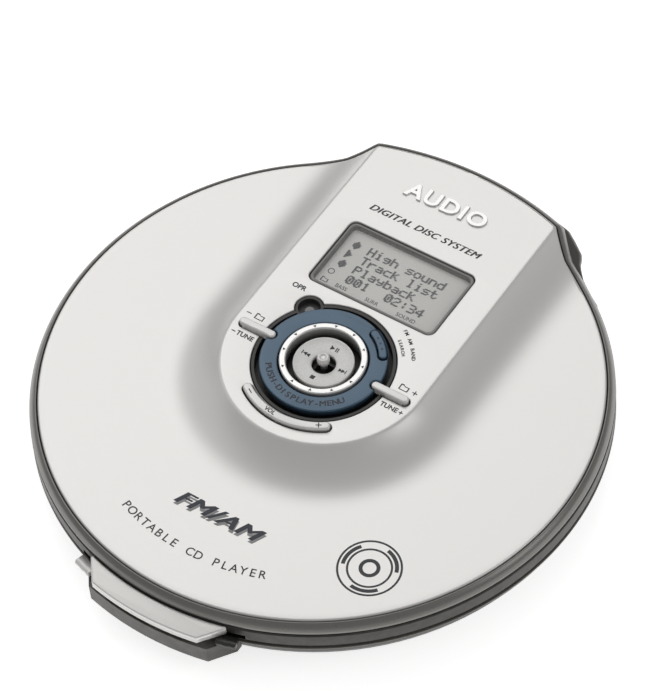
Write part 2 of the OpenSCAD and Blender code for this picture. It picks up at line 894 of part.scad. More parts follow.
module mech_chassis() {
    color([0.45, 0.45, 0.46])
        difference() {
            union() {
                translate([mech_x0 + 1, -mech_half + 1, chassis_z])
                    cube([mech_x1 - mech_x0 - 2, 2 * mech_half - 2, chassis_t]);
                for (x = [sled_in - 12.5, mech_x1 - 3], y = [-1, 1])
                    translate([x, y * rod_y - 2, rod_z - 2]) cube([2, 4, chassis_z - rod_z + 2 + eps]);
                translate([mech_x1 - 3, screw_y - 1.6, rod_z - 1.6])
                    cube([2, 3.2, chassis_z - rod_z + 1.6 + eps]);
            }
            translate([0, 0, chassis_z - 1]) cylinder(r = 4, h = 4);
            translate([sled_in - sled_back - 1.5, -slot_half, chassis_z - 1])
                cube([mech_x1 - sled_in + sled_back + 2, 2 * slot_half, 4]);
            for (y = [-1, 1])
                translate([0, y * rod_y, rod_z]) rotate([0, 90, 0]) cylinder(r = rod_r, h = mech_x1 - 1.8);
            translate([mech_x1 - 4, screw_y, rod_z]) rotate([0, 90, 0]) cylinder(r = 0.8 + run, h = 5);
            translate([sled_in - 19.8, screw_y - motor_can_r - 0.3, chassis_z - 1])
                cube([11.7, 2 * motor_can_r + 0.6, 4]);
            damper_places() cylinder(r = 1.7, h = 20, center = true);
        }
}

module damper_places() {
    for (p = [[mech_x0 + 4.5, 20], [mech_x0 + 4.5, -20], [mech_x1 - 9, 21.5]])
        translate([p[0], p[1], chassis_z]) children();
}

module dampers() {
    color([0.12, 0.12, 0.12])
        damper_places() {
            difference() {
                union() {
                    translate([0, 0, -3]) cylinder(r = 2.8, h = 3 - 0.02);
                    translate([0, 0, -0.1]) cylinder(r = 1.68, h = chassis_t + 0.2);
                    translate([0, 0, chassis_t + 0.02]) cylinder(r = 2.4, h = 0.4);
                }
                translate([0, 0, -4]) cylinder(r = 0.8, h = 8);
            }
        }
}

module mech_cover() {
    z0 = chassis_z + chassis_t + 0.5;
    color([0.18, 0.18, 0.18])
        difference() {
            translate([mech_x0 + 0.4, -mech_half + 0.4, z0])
                cube([mech_x1 - mech_x0 - 0.8, 2 * mech_half - 0.8, well_z - z0]);
            translate([0, 0, z0 - 1]) cylinder(r = table_r + 0.6, h = 5);
            translate([0, -sled_half - 0.5, z0 - 1])
                cube([mech_x1 + 1, 2 * sled_half + 1, 5]);
            translate([0, 0, z0 - 1]) difference() {
                cylinder(r = body_r + 10, h = 5);
                translate([0, 0, -1]) cylinder(r = well_r - 0.8, h = 7);
            }
        }
}

module sled() {
    nose_half = 7;
    z1 = well_z - 0.6;
    color([0.25, 0.25, 0.26])
        difference() {
            union() {
                translate([sled_in - sled_back, -sled_half, rod_z - 2.6])
                    cube([sled_back + 1, 2 * sled_half, z1 - rod_z + 2.6]);
                translate([sled_in, -nose_half, rod_z - 2.6])
                    cube([sled_front, 2 * nose_half, z1 - rod_z + 2.6]);
                for (y = [-1, 1])
                    translate([sled_in - sled_back, y * rod_y - (y > 0 ? 2.4 : 3), rod_z - 1.6])
                        cube([bearing_w, 5.4, 3.2 - 0.4]);
                for (y = [-1, 1])
                    translate([sled_in - sled_back, y > 0 ? sled_half - 1 : -sled_half - 3.5, rod_z - 1.6])
                        cube([bearing_w, 4.5, 3.2 - 0.4]);
                translate([sled_in - sled_back + 2, screw_y + screw_r + 0.25, rod_z - 1.4])
                    cube([4, -screw_y - rod_y - screw_r + 1, 2.4]);
            }
            for (y = [-1, 1])
                translate([sled_in - 20, y * rod_y, rod_z])
                    rotate([0, 90, 0]) cylinder(r = rod_r + run, h = 40);
            translate([sled_in - 4.4, -5.4, z1 - 2.6]) cube([8.8, 10.8, 5]);
        }
}

module lens_holder() {
    z1 = well_z - 0.1;
    color([0.12, 0.12, 0.12])
        difference() {
            union() {
                translate([sled_in - 3.8, -4.8, z1 - 1.8]) cube([7.6, 9.6, 1.2]);
                translate([sled_in, 0, z1 - 1.8]) cylinder(r = 3.1, h = 2);
            }
            translate([sled_in, 0, z1 - 4]) cylinder(r = 2.1, h = 10);
        }
}

module objective_lens() {
    z1 = well_z - 0.1;
    color([0.5, 0.5, 0.7, 0.6])
        translate([sled_in, 0, z1 - 1.2])
            rotate_extrude() polygon([
                [0, 0], [2.08, 0], [2.08, 0.7], [1.5, 1.05], [0.8, 1.3], [0, 1.4]]);
}

module guide_rods() {
    color([0.8, 0.8, 0.82])
        for (y = [-1, 1])
            translate([sled_in - 12.4, y * rod_y, rod_z])
                rotate([0, 90, 0]) cylinder(r = rod_r, h = mech_x1 - 2 - (sled_in - 12.4));
}

module lead_screw() {
    x0 = sled_in - 8;
    grooves = 17;
    color([0.75, 0.72, 0.6])
        translate([0, screw_y, rod_z])
            rotate([0, 90, 0]) difference() {
                union() {
                    translate([0, 0, x0]) cylinder(r = screw_r, h = mech_x1 - 3.3 - x0);
                    translate([0, 0, x0 - 4]) cylinder(r = 0.8, h = mech_x1 - 1.4 - x0 + 4);
                }
                for (i = [1 : grooves])
                    translate([0, 0, x0 + (mech_x1 - 3.3 - x0) * i / (grooves + 1)])
                        rotate_extrude() polygon([[screw_r - 0.3, 0], [screw_r + 1, -0.6], [screw_r + 1, 0.6]]);
            }
}

module sled_motor() {
    x1 = sled_in - 8.3;
    color([0.65, 0.65, 0.67])
        difference() {
            union() {
                translate([x1 - 11, screw_y, rod_z]) rotate([0, 90, 0]) cylinder(r = motor_can_r, h = 11);
                translate([x1 - 0.8, screw_y - 3, rod_z - 3])
                    cube([0.8, 6, chassis_z - rod_z + 3 - 0.05]);
            }
            translate([x1 - 4, screw_y, rod_z]) rotate([0, 90, 0]) cylinder(r = 0.8 + run, h = 8);
        }
}

// ---------------------------------------------------------------- electronics

module board_2d(y0, y1) {
    intersection() {
        circle(r = board_r);
        translate([bay_x1 + 2, y0]) square([90, y1 - y0]);
    }
}

module main_board() {
    color([0.12, 0.35, 0.2])
        difference() {
            translate([0, 0, board_level]) linear_extrude(0.9) board_2d(mech_half + 2, 50);
            rotate([0, 0, power_a]) translate([nose_out - 3 - jack_l, -5, 0]) cube([30, 10, 20]);
            rotate([0, 0, phone_a]) translate([nose_out - 3 - jack_l, -5, 0]) cube([30, 10, 20]);
        }
}

module board_chips() {
    z0 = board_level + 0.9;
    color([0.1, 0.1, 0.1])
        union() {
            translate([-8, 33, z0]) cube([12, 12, 1.4]);
            translate([12, 31, z0]) cube([8, 14, 1.2]);
            translate([26, 34, z0]) cube([7, 7, 1.2]);
            for (i = [0 : 2])
                translate([-9 + 6 * i, 47.5, z0]) cylinder(r = 1.8, h = 3.6);
            translate([4, -38, z0]) cube([10, 7, 1.2]);
        }
}

module jack_board() {
    color([0.12, 0.35, 0.2])
        translate([0, 0, board_level]) linear_extrude(0.9) board_2d(-50, -mech_half - 2);
}

// the free room inside the bottom case
module case_room() {
    rotate_extrude() polygon([
        [0, floor_z + 0.05], [58.2, floor_z + 0.05], [61.2, 3.2], [63.7, 5], [65.2, 7.4], [65.6, 9],
        [65.6, 12], [0, 12]]);
}

// one jack on the side wall at angle a, with a bore of radius r
module jack(a, r, w) {
    rotate([0, 0, a])
        translate([0, 0, jack_z])
            difference() {
                union() {
                    translate([0, 0, -jack_z]) intersection() {
                        case_room();
                        translate([nose_out - 1.6 - jack_l, -w / 2, jack_z - 3])
                            cube([jack_l - 1.6, w, 5.6]);
                    }
                    translate([nose_out - 4, 0, 0]) rotate([0, 90, 0]) cylinder(r = nose_r, h = 4);
                }
                translate([nose_out - jack_l, 0, 0]) rotate([0, 90, 0]) cylinder(r = r, h = jack_l + 2);
            }
}

module headphone_jack() {
    color([0.15, 0.15, 0.15]) jack(phone_a, phone_r, 6.4);
}

module power_jack() {
    color([0.15, 0.15, 0.15]) {
        jack(power_a, power_r, 8);
        rotate([0, 0, power_a])
            translate([nose_out - jack_l - 0.5, 0, jack_z])
                rotate([0, 90, 0]) cylinder(r = 0.7, h = jack_l - 2);
    }
}

module battery_tray() {
    t = 0.9;
    color([0.3, 0.3, 0.3])
        difference() {
            intersection() {
                case_room();
                translate([bay_x0 - t, -bay_half - t, 0])
                    cube([bay_w + 2 * t, 2 * (bay_half + t), tray_z]);
            }
            translate([bay_x0, -bay_half, 0]) cube([bay_w, 2 * bay_half, tray_z - t]);
        }
}

module battery_contacts() {
    cell = bay_w / 2;
    color([0.8, 0.78, 0.7])
        for (i = [0, 1])
            translate([bay_x0 + cell * (i + 0.5) - 2.5, (i == 0 ? 1 : -1) * (bay_half - 0.25) - 0.2, 4])
                cube([5, 0.4, 4.5]);
}

module battery_springs() {
    cell = bay_w / 2;
    color([0.8, 0.8, 0.8])
        for (i = [0, 1])
            translate([bay_x0 + cell * (i + 0.5), (i == 0 ? -1 : 1) * (bay_half - 0.3), 6.2])
                rotate([i == 0 ? -90 : 90, 0, 0]) coil(2, 0.22, 0.7, 4);
}

module battery_cover() {
    color([0.3, 0.29, 0.28])
        intersection() {
            union() {
                rotate_extrude() polygon([
                    [0, foot_h], [57, foot_h], [60.5, foot_h + 0.3], [63.3, 2.1], [63.6, cover_top],
                    [0, cover_top]]);
            }
            translate([-90, -cover_half, -1]) cube([90 + cover_x1, 2 * cover_half, 10]);
        }
}

// ---------------------------------------------------------------- front sliders and small parts

// a slider's knob with the stem that goes in through the wall
module knob() {
    rotate([0, 0, -90 - knob_a]) {
        translate([knob_d - 1.3, -knob_w / 2, knob_z]) cube([2.6, knob_w, knob_h]);
        translate([body_r - 2.6, -1.2, knob_z]) cube([4, 2.4, 0.9]);
    }
}

module open_slider() {
    color([0.82, 0.82, 0.82]) knob();
}

module latch_hook() {
    x0 = -(body_r - 2.7) * sin(knob_a) + 1.3;
    color([0.5, 0.5, 0.5])
        union() {
            translate([x0, -lid_r + 2.1, knob_z]) cube([-x0 - 5.3, 0.7, 1]);
            translate([-6.8, -lid_r + 2.1, knob_z]) cube([1.5, 1.1, 1]);
        }
}

module hold_slider() {
    color([0.3, 0.3, 0.3]) mirror([1, 0, 0]) knob();
}

module switch_place() {
    rotate([0, 0, -47]) translate([lid_r - 1.7, 0, 0]) children();
}

module lid_switch() {
    color([0.2, 0.2, 0.2])
        switch_place() {
            translate([0, 0, well_z]) cylinder(r = 0.9, h = lid_bottom - 0.1 - well_z);
            translate([0, 0, well_z - 1.8]) cylinder(r = 1.4, h = deck_z - wall - 0.1 - well_z + 1.8);
        }
}

module feet() {
    color([0.1, 0.1, 0.1])
        for (a = [52, 128, 232, 308])
            rotate([0, 0, a])
                translate([54, 0, 0]) cylinder(r = 3.2, h = foot_h - 0.02);
}

module case_screws() {
    color([0.5, 0.5, 0.5])
        screw_places() {
            translate([0, 0, 0.05]) cylinder(r = 1, h = 5);
        }
}

lid_panel();
lid_ring();
lid_inner_cover();
hinge_barrel();
latch_catch();
dial_well();
dial_bezel();
jog_ring();
jog_carrier();
dial_dish();
stick_gimbal();
stick_cap();
stick_base();
led_lens();
band_button();
tune_minus_bar();
tune_plus_bar();
volume_rocker();
lcd_bezel();
lcd_glass();
lcd_panel();
control_board();
key_switches();
upper_case();
bottom_case();
front_shelf();
hinge_bracket();
hinge_pins();
hinge_springs();
turntable();
hub();
chuck_balls();
spindle_motor();
spindle_shaft();
mech_chassis();
dampers();
mech_cover();
sled();
lens_holder();
objective_lens();
guide_rods();
lead_screw();
sled_motor();
main_board();
board_chips();
jack_board();
headphone_jack();
power_jack();
battery_tray();
battery_contacts();
battery_springs();
battery_cover();
open_slider();
latch_hook();
hold_slider();
lid_switch();
feet();
case_screws();
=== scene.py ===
import json
import math

import bmesh
import bpy
import numpy as np
from mathutils import Matrix, Vector
from mathutils.geometry import tessellate_polygon


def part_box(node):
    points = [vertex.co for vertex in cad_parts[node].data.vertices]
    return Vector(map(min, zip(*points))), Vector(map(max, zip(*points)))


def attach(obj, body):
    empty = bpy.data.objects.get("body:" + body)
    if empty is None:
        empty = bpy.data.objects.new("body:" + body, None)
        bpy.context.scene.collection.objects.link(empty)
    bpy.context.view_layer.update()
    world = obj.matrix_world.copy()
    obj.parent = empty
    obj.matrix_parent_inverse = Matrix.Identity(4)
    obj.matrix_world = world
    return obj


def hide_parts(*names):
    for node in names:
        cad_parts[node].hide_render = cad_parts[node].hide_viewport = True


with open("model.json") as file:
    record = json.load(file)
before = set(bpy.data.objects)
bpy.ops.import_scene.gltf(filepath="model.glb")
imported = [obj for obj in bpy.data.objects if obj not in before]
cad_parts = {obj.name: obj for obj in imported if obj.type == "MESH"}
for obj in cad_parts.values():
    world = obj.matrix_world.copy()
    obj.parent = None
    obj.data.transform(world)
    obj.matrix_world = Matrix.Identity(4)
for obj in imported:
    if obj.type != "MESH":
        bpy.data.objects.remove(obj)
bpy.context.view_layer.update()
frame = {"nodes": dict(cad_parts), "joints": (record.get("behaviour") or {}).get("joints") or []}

# ---- lid panel
# The light panel of the lid: one moulding in satin pearl lacquer with a flat tongue that runs to the hinge
# end, a hollow skirt round it, and openings for the display, the dial and the keys. It clips into the ring.


def box_mm(node):
    """Lowest and highest corners of a CAD node, in millimetres."""
    lo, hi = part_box(node)
    return np.array(lo) * 1000, np.array(hi) * 1000


def side(points):
    """Left-hand unit normal of a closed loop at each point: the neighbours' chord turned a quarter turn."""
    chord = np.roll(points, -1, 0) - np.roll(points, 1, 0)
    normal = np.stack([-chord[:, 1], chord[:, 0]], 1)
    return normal / np.maximum(np.linalg.norm(normal, axis=1), 1e-9)[:, None]


def arc(cx, cy, r, a0, a1, n):
    """Points on a circle of radius r about (cx, cy) from angle a0 to a1, in degrees."""
    a = np.radians(np.linspace(a0, a1, n))
    return np.stack([cx + r * np.cos(a), cy + r * np.sin(a)], 1)


def polar(centre, r, degrees):
    """The point at distance r from a centre, in a direction given in degrees."""
    a = math.radians(degrees)
    return np.array([centre[0] + r * math.cos(a), centre[1] + r * math.sin(a)])


def level(loop, z):
    """The points of a loop at height z, which is one number or one for each point."""
    return np.column_stack([loop, np.full(len(loop), z)])


def spaced(path, step):
    """The closed path walked at an even spacing of about step."""
    ring = np.vstack([path, path[:1]])
    run = np.concatenate([[0], np.cumsum(np.linalg.norm(np.diff(ring, axis=0), axis=1))])
    s = np.linspace(0, run[-1], max(int(run[-1] / step), 8), endpoint=False)
    return np.stack([np.interp(s, run, ring[:, k]) for k in range(2)], 1)


def rounded_rect(cx, cy, w, d, r):
    """A rectangle with corners of radius r, counter-clockwise."""
    x, y = w / 2 - r, d / 2 - r
    ends = [(x, y, 0), (-x, y, 90), (-x, -y, 180), (x, -y, 270)]
    return spaced(np.vstack([arc(cx + ex, cy + ey, r, a, a + 90, 9) for ex, ey, a in ends]), 0.35)


def capsule(x0, x1, cy, half):
    """A bar along X with half-round ends, counter-clockwise."""
    ends = [arc(x1 - half, cy, half, -90, 90, 17), arc(x0 + half, cy, half, 90, 270, 17)]
    return spaced(np.vstack(ends), 0.12)


def band(cx, cy, r0, r1, mid, half):
    """A ring sector with round ends about (cx, cy), from mid - half to mid + half degrees."""
    rm, end = (r0 + r1) / 2, (r1 - r0) / 2
    tips = [polar((cx, cy), rm, mid + s * half) for s in (1, -1)]
    return spaced(np.vstack([
        arc(cx, cy, r1, mid - half, mid + half, 40),
        arc(*tips[0], end, mid + half, mid + half + 180, 15),
        arc(cx, cy, r0, mid + half, mid - half, 40),
        arc(*tips[1], end, mid - half + 180, mid - half + 360, 15)]), 0.16)


def strip(first, rows, columns):
    """Faces between successive closed rows of vertices that start at index first."""
    r, c = np.meshgrid(np.arange(rows - 1), np.arange(columns), indexing="ij")
    a, b = first + r * columns + c, first + r * columns + (c + 1) % columns
    return np.stack([a, b, b + columns, a + columns], -1).reshape(-1, 4).tolist()


def filled(loops, first):
    """Triangles that fill the area between an outer loop and its holes, whose vertices start at index first."""
    flat = [[Vector((x, y, 0)) for x, y in loop[:, :2]] for loop in loops]
    return [[first + i for i in tri] for tri in tessellate_polygon(flat)]


def piece(name, verts, faces, material, body, slot, smooth=True):
    """A mesh object from millimetre vertices, welded, with its faces turned outwards, riding on a body."""
    mesh = bpy.data.meshes.new(name)
    mesh.from_pydata((np.asarray(verts, float) * 0.001).tolist(), [], [list(f) for f in faces])
    work = bmesh.new()
    work.from_mesh(mesh)
    bmesh.ops.remove_doubles(work, verts=work.verts, dist=2e-6)
    bmesh.ops.dissolve_degenerate(work, edges=work.edges, dist=1e-7)
    bmesh.ops.recalc_face_normals(work, faces=work.faces)
    work.to_mesh(mesh)
    work.free()
    mesh.polygons.foreach_set("use_smooth", [smooth] * len(mesh.polygons))
    made = bpy.data.objects.new(name, mesh)
    bpy.context.collection.objects.link(made)
    mesh.materials.append(material)
    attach(made, body)
    return made


def plate(name, outer, holes, z0, z1, r, material, body, slot):
    """A flat plate with holes as one piece: walls, edges rounded by r at the top, and both faces filled."""
    verts, faces, top, bottom, first = [], [], [], [], 0
    for k, loop in enumerate([outer] + list(holes)):
        inward = side(loop) * (1 if k == 0 else -1)
        rows = [level(loop, z0)]
        for a in np.linspace(0, math.pi / 2, 5):
            rows.append(level(loop + inward * r * (1 - math.cos(a)), z1 - r + r * math.sin(a)))
        faces += strip(first, len(rows), len(loop))
        bottom.append((rows[0], first))
        top.append((rows[-1], first + (len(rows) - 1) * len(loop)))
        verts.append(np.vstack(rows))
        first += len(rows) * len(loop)
    for ends in (top, bottom):
        index = np.concatenate([start + np.arange(len(loop)) for loop, start in ends])
        faces += [[int(index[i]) for i in tri] for tri in filled([loop for loop, _ in ends], 0)]
    return piece(name, np.vstack(verts), faces, material, body, slot)


def grain_group():
    """Fine surface grain: two scales of noise give a height and a slowly varying mask."""
    group = bpy.data.node_groups.new("moulded_grain", "ShaderNodeTree")
    for label, low in (("Scale", 100.0), ("Cloud Scale", 20.0)):
        group.interface.new_socket(label, in_out="INPUT", socket_type="NodeSocketFloat").default_value = low
    for label in ("Height", "Cloud"):
        group.interface.new_socket(label, in_out="OUTPUT", socket_type="NodeSocketFloat")
    nodes, links = group.nodes, group.links
    start, end = nodes.new("NodeGroupInput"), nodes.new("NodeGroupOutput")
    place = nodes.new("ShaderNodeTexCoord")
    fine, cloud = nodes.new("ShaderNodeTexNoise"), nodes.new("ShaderNodeTexNoise")
    fine.inputs["Detail"].default_value = 2.0
    cloud.inputs["Detail"].default_value = 3.0
    for noise, label in ((fine, "Scale"), (cloud, "Cloud Scale")):
        links.new(place.outputs["Object"], noise.inputs["Vector"])
        links.new(start.outputs[label], noise.inputs["Scale"])
    links.new(fine.outputs["Fac"], end.inputs["Height"])
    links.new(cloud.outputs["Fac"], end.inputs["Cloud"])
    return group


GRAIN = grain_group()


def finish(name, colour, metallic=0.0, rough=0.4, grain=900.0, bump=0.05, cloud=60.0, vary=0.04,
           rough_vary=0.06, coat=0.0, coat_rough=0.15, alpha=1.0, specular=0.5):
    """A Principled finish: the grain sets the bump and a little roughness, the cloud shifts the colour slightly."""
    material = bpy.data.materials.new(name)
    material.use_nodes = True
    nodes, links = material.node_tree.nodes, material.node_tree.links
    shader = nodes["Principled BSDF"]
    shader.inputs["Metallic"].default_value = metallic
    shader.inputs["Coat Weight"].default_value = coat
    shader.inputs["Coat Roughness"].default_value = coat_rough
    shader.inputs["Specular IOR Level"].default_value = specular
    shader.inputs["Alpha"].default_value = alpha
    texture = nodes.new("ShaderNodeGroup")
    texture.node_tree = GRAIN
    texture.inputs["Scale"].default_value = grain
    texture.inputs["Cloud Scale"].default_value = cloud
    shade = nodes.new("ShaderNodeMapRange")
    shade.inputs["To Min"].default_value = 1 - vary
    shade.inputs["To Max"].default_value = 1 + vary
    tint = nodes.new("ShaderNodeMixRGB")
    tint.blend_type = "MULTIPLY"
    tint.inputs["Fac"].default_value = 1.0
    tint.inputs["Color1"].default_value = (*colour, 1)
    links.new(texture.outputs["Cloud"], shade.inputs["Value"])
    links.new(shade.outputs["Result"], tint.inputs["Color2"])
    links.new(tint.outputs["Color"], shader.inputs["Base Color"])
    polish = nodes.new("ShaderNodeMapRange")
    polish.inputs["To Min"].default_value = max(rough - rough_vary, 0.02)
    polish.inputs["To Max"].default_value = rough + rough_vary
    links.new(texture.outputs["Height"], polish.inputs["Value"])
    links.new(polish.outputs["Result"], shader.inputs["Roughness"])
    relief = nodes.new("ShaderNodeBump")
    relief.inputs["Strength"].default_value = bump
    relief.inputs["Distance"].default_value = 0.0002
    links.new(texture.outputs["Height"], relief.inputs["Height"])
    links.new(relief.outputs["Normal"], shader.inputs["Normal"])
    return material


panel_lo, panel_hi = box_mm("lid_panel")
dial_lo, dial_hi = box_mm("dial_bezel")
window_lo, window_hi = box_mm("lcd_bezel")
rocker_hi = box_mm("volume_rocker")[1]
bar_lo, bar_hi = box_mm("tune_plus_bar")

LID_R = (panel_hi[0] - panel_lo[0]) / 2
TONGUE_Z = panel_hi[2]
TONGUE_RISE = 5.1
TONGUE_HALF = 25.1
TONGUE_FRONT = 3.5
SKIRT_W = 15.0
SKIRT_POWER = 2.2
PANEL_WALL = 1.3
BACK_Y = panel_hi[1]
BACK_R = 80.0
CORNER = (25.0, BACK_Y - BACK_R + math.sqrt(BACK_R ** 2 - 25.0 ** 2))
DIAL = np.array([0.0, (dial_lo[1] + dial_hi[1]) / 2])
KEY_GAP = 0.3
BAR_HALF = 1.0
WELL_R = 16.4
LOBE_D, LOBE_R, LOBE_A = 16.6, 3.3, 135
# The foot of the hinge end's flank, how far the flank is hollowed, and the ways its ends move when it is grown.
FOOT = (40.3, CORNER[1] - 12.9)
HOLLOW = 1.6
FOOT_WAY, CORNER_WAY = (0.62, 0.785), (0.497, 0.889)


def skirt_height(x, y):
    """Height of the lid's top: level on the tongue, then falling with the distance from its edge as a power of
    what is left of the skirt's width; the edge itself is eased by a short parabola."""
    away = np.where(y >= TONGUE_FRONT, np.abs(x), np.hypot(x, y - TONGUE_FRONT)) - TONGUE_HALF
    ease, slope = 0.55, SKIRT_POWER / SKIRT_W
    left = np.clip(1 - away / SKIRT_W, 0, 1)
    fall = 1 - np.where(away > 0, left ** SKIRT_POWER, 1.0)
    soft = slope * (np.clip(away + ease, 0, None)) ** 2 / (4 * ease)
    return TONGUE_Z - TONGUE_RISE * np.where(away < ease, np.maximum(soft, 0), fall)


def flank_line(grow=0.0):
    """The side of the flared hinge end grown by grow, from the round body to its corner: a straight run from end
    to end less a shallow parabola in both directions."""
    t = np.linspace(0, 1, 40)
    return tuple((FOOT[k] + FOOT_WAY[k] * grow) * (1 - t) + (CORNER[k] + CORNER_WAY[k] * grow) * t
                 - HOLLOW * t * (1 - t) for k in range(2))


def flank_x(y, grow=0.0):
    """Half-width of the flared hinge end at height y on the plan."""
    xs, ys = flank_line(grow)
    return np.interp(y, ys, xs, left=0.0, right=0.0)


def tongue_outline(inset):
    """The tongue's outline moved inwards by inset: straight sides, a round front and an arc along the back."""
    half, arc_r = TONGUE_HALF - inset, BACK_R - inset
    top = BACK_Y - BACK_R + math.sqrt(arc_r ** 2 - half ** 2)
    y = TONGUE_FRONT + (top - TONGUE_FRONT) * np.linspace(0, 1, 90)
    open_a = math.asin(half / arc_r)
    a = math.pi / 2 - open_a + 2 * open_a * np.linspace(0, 1, 61)[1:-1]
    turn = np.radians(np.linspace(180, 360, 181)[1:-1])
    return np.vstack([
        np.stack([np.full(90, half), y], 1),
        np.stack([arc_r * np.cos(a), BACK_Y - BACK_R + arc_r * np.sin(a)], 1),
        np.stack([np.full(90, -half), y[::-1]], 1),
        np.stack([half * np.cos(turn), TONGUE_FRONT + half * np.sin(turn)], 1)])


def tongue_edge():
    """The tongue's outline with the direction and length of the ray from each point out to the rim: straight
    across from the sides, radial from the round front, and none along the back."""
    edge = tongue_outline(0.0)
    turn = np.radians(np.linspace(180, 360, 181)[1:-1])
    ray = np.vstack([np.tile([1.0, 0.0], (90, 1)), np.zeros((59, 2)), np.tile([-1.0, 0.0], (90, 1)),
                     np.stack([np.cos(turn), np.sin(turn)], 1)])
    along = (edge * ray).sum(1)
    reach = -along + np.sqrt(np.maximum(along ** 2 - (edge ** 2).sum(1) + LID_R ** 2, 0))
    flank = np.maximum(flank_x(edge[:, 1]) - TONGUE_HALF, 0)
    straight = np.abs(ray[:, 0]) == 1
    outside = (edge ** 2).sum(1) > LID_R ** 2
    reach = np.where(outside, 0, reach)
    reach = np.where(straight, np.maximum(reach, flank), reach)
    return edge, ray, np.where(np.abs(ray).sum(1) == 0, 0, reach)


EDGE, RAY, REACH = tongue_edge()
RIM = EDGE + RAY * REACH[:, None]
RIM_OUT = -side(RIM)
RIM_EDGE_Z = skirt_height(RIM[:, 0], RIM[:, 1])


def dial_opening(grow):
    """Outline of the opening round the dial: a circle with a lobe for the lamp and a slot each side."""
    r0, r1, d = WELL_R + 0.4 + grow, LOBE_R + grow, LOBE_D
    half = BAR_HALF + KEY_GAP
    main = math.acos((r0 ** 2 + d ** 2 - r1 ** 2) / (2 * r0 * d))
    turn = math.degrees(math.atan2(r0 * math.sin(main), r0 * math.cos(main) - d))
    main = math.degrees(main)
    slot = math.degrees(math.asin(half / r0))
    centre = polar(DIAL, d, LOBE_A)
    tip = bar_hi[0] + KEY_GAP - half
    return spaced(np.vstack([
        arc(*DIAL, r0, slot, LOBE_A - main, 60),
        arc(*centre, r1, LOBE_A - turn, LOBE_A + turn, 40),
        arc(*DIAL, r0, LOBE_A + main, 180 - slot, 20),
        arc(-tip, DIAL[1], half, 90, 270, 20),
        arc(*DIAL, r0, 180 + slot, 360 - slot, 120),
        arc(tip, DIAL[1], half, -90, 90, 20)]), 0.22)


WIN_C = (window_lo[:2] + window_hi[:2]) / 2
WIN_W, WIN_D = window_hi[:2] - window_lo[:2]
WINDOW = rounded_rect(*WIN_C, WIN_W + 0.5, WIN_D + 0.5, 2.0)
ROCKER_MID = -90.0
ROCKER = dict(r0=17.7, r1=19.8, mid=ROCKER_MID, half=35.0)
rocker_hole = band(*DIAL, ROCKER["r0"] - KEY_GAP, ROCKER["r1"] + KEY_GAP, ROCKER_MID, ROCKER["half"])

hinge_y, hinge_z = [float(v) * 1000 for v in next(
    j for j in frame["joints"] if j["name"] == "lid_hinge")["pos_m"][1:]]
HINGE_CLEAR = 4.0
ear_x = box_mm("hinge_bracket")[1][0] + 0.6


def clear_of_hinge(points):
    """Lifts what lies inside the hinge's clearance cylinder up onto it, between the bracket's ears."""
    y = points[:, 1] - hinge_y
    lift = hinge_z + np.sqrt(np.maximum(HINGE_CLEAR ** 2 - y ** 2, 0))
    near = (np.abs(points[:, 0]) < ear_x) & (np.abs(y) < HINGE_CLEAR) & (points[:, 2] < lift)
    points[:, 2] = np.where(near & (points[:, 2] > hinge_z), lift, points[:, 2])
    return points


def draped(points, drop=0.0):
    """Points of the plan on the lid's top surface, lowered by drop."""
    return level(points, skirt_height(*points.T) - drop)


def lid_shell():
    """The panel as rows round the tongue: eased edge, skirt, rolled rim, inner wall and underside, with the
    tongue's top and underside filled round the openings."""
    inset, rim_r = 1.3, 0.45
    inner = tongue_outline(inset)
    rows = [level(inner, TONGUE_Z)] + [draped(tongue_outline(d)) for d in (0.9, 0.6)]
    start = tongue_outline(rim_r)
    far = np.clip(REACH / 1.2, 0, 1)[:, None]
    for d in (-0.35, -0.18, 0.0, 0.18, 0.35, 0.55):
        rows.append(draped(start * (1 - far) + (EDGE + RAY * d) * far))
    for u in np.linspace(0, 1, 40)[1:-1]:
        out = np.maximum((REACH - rim_r) * u ** 1.15, 0.56)
        rows.append(draped(start * (1 - far) + (EDGE + RAY * out[:, None]) * far))
    low = RIM_EDGE_Z - rim_r
    for a in np.linspace(math.pi / 2, 0, 6):
        rows.append(level(RIM - RIM_OUT * (rim_r * (1 - math.cos(a))), low + rim_r * math.sin(a)))
    inside = RIM - RIM_OUT * PANEL_WALL
    rows += [level(RIM, panel_lo[2]), level(inside, panel_lo[2]), draped(inside, PANEL_WALL)]
    for u in np.linspace(1, 0, 14)[1:-1]:
        away = RAY * (np.maximum(REACH - PANEL_WALL, 0) * u)[:, None]
        rows.append(draped(EDGE + away - RIM_OUT * (0.5 * (REACH < 2))[:, None], PANEL_WALL))
    rows.append(level(inner, TONGUE_Z - PANEL_WALL))
    n = len(EDGE)
    verts, faces = np.vstack(rows), strip(0, len(rows), n)
    top_index, bottom_index = [np.arange(n)], [(len(rows) - 1) * n + np.arange(n)]
    top_loops, bottom_loops = [inner], [inner]
    extra, first = [], len(verts)
    for hole in (WINDOW, dial_opening(0.25), rocker_hole):
        outward = -side(hole)
        levels = [level(hole, TONGUE_Z - PANEL_WALL)]
        for a in np.linspace(0, math.pi / 2, 5):
            levels.append(level(hole + outward * 0.22 * (1 - math.cos(a)), TONGUE_Z - 0.22 * (1 - math.sin(a))))
        faces += strip(first, len(levels), len(hole))
        bottom_index.append(first + np.arange(len(hole)))
        top_index.append(first + (len(levels) - 1) * len(hole) + np.arange(len(hole)))
        top_loops.append(levels[-1][:, :2])
        bottom_loops.append(hole)
        extra.append(np.vstack(levels))
        first += len(extra[-1])
    for index, loops in ((top_index, top_loops), (bottom_index, bottom_loops)):
        index = np.concatenate(index)
        faces += [[int(index[i]) for i in tri] for tri in filled(loops, 0)]
    return clear_of_hinge(np.vstack([verts] + extra)), faces


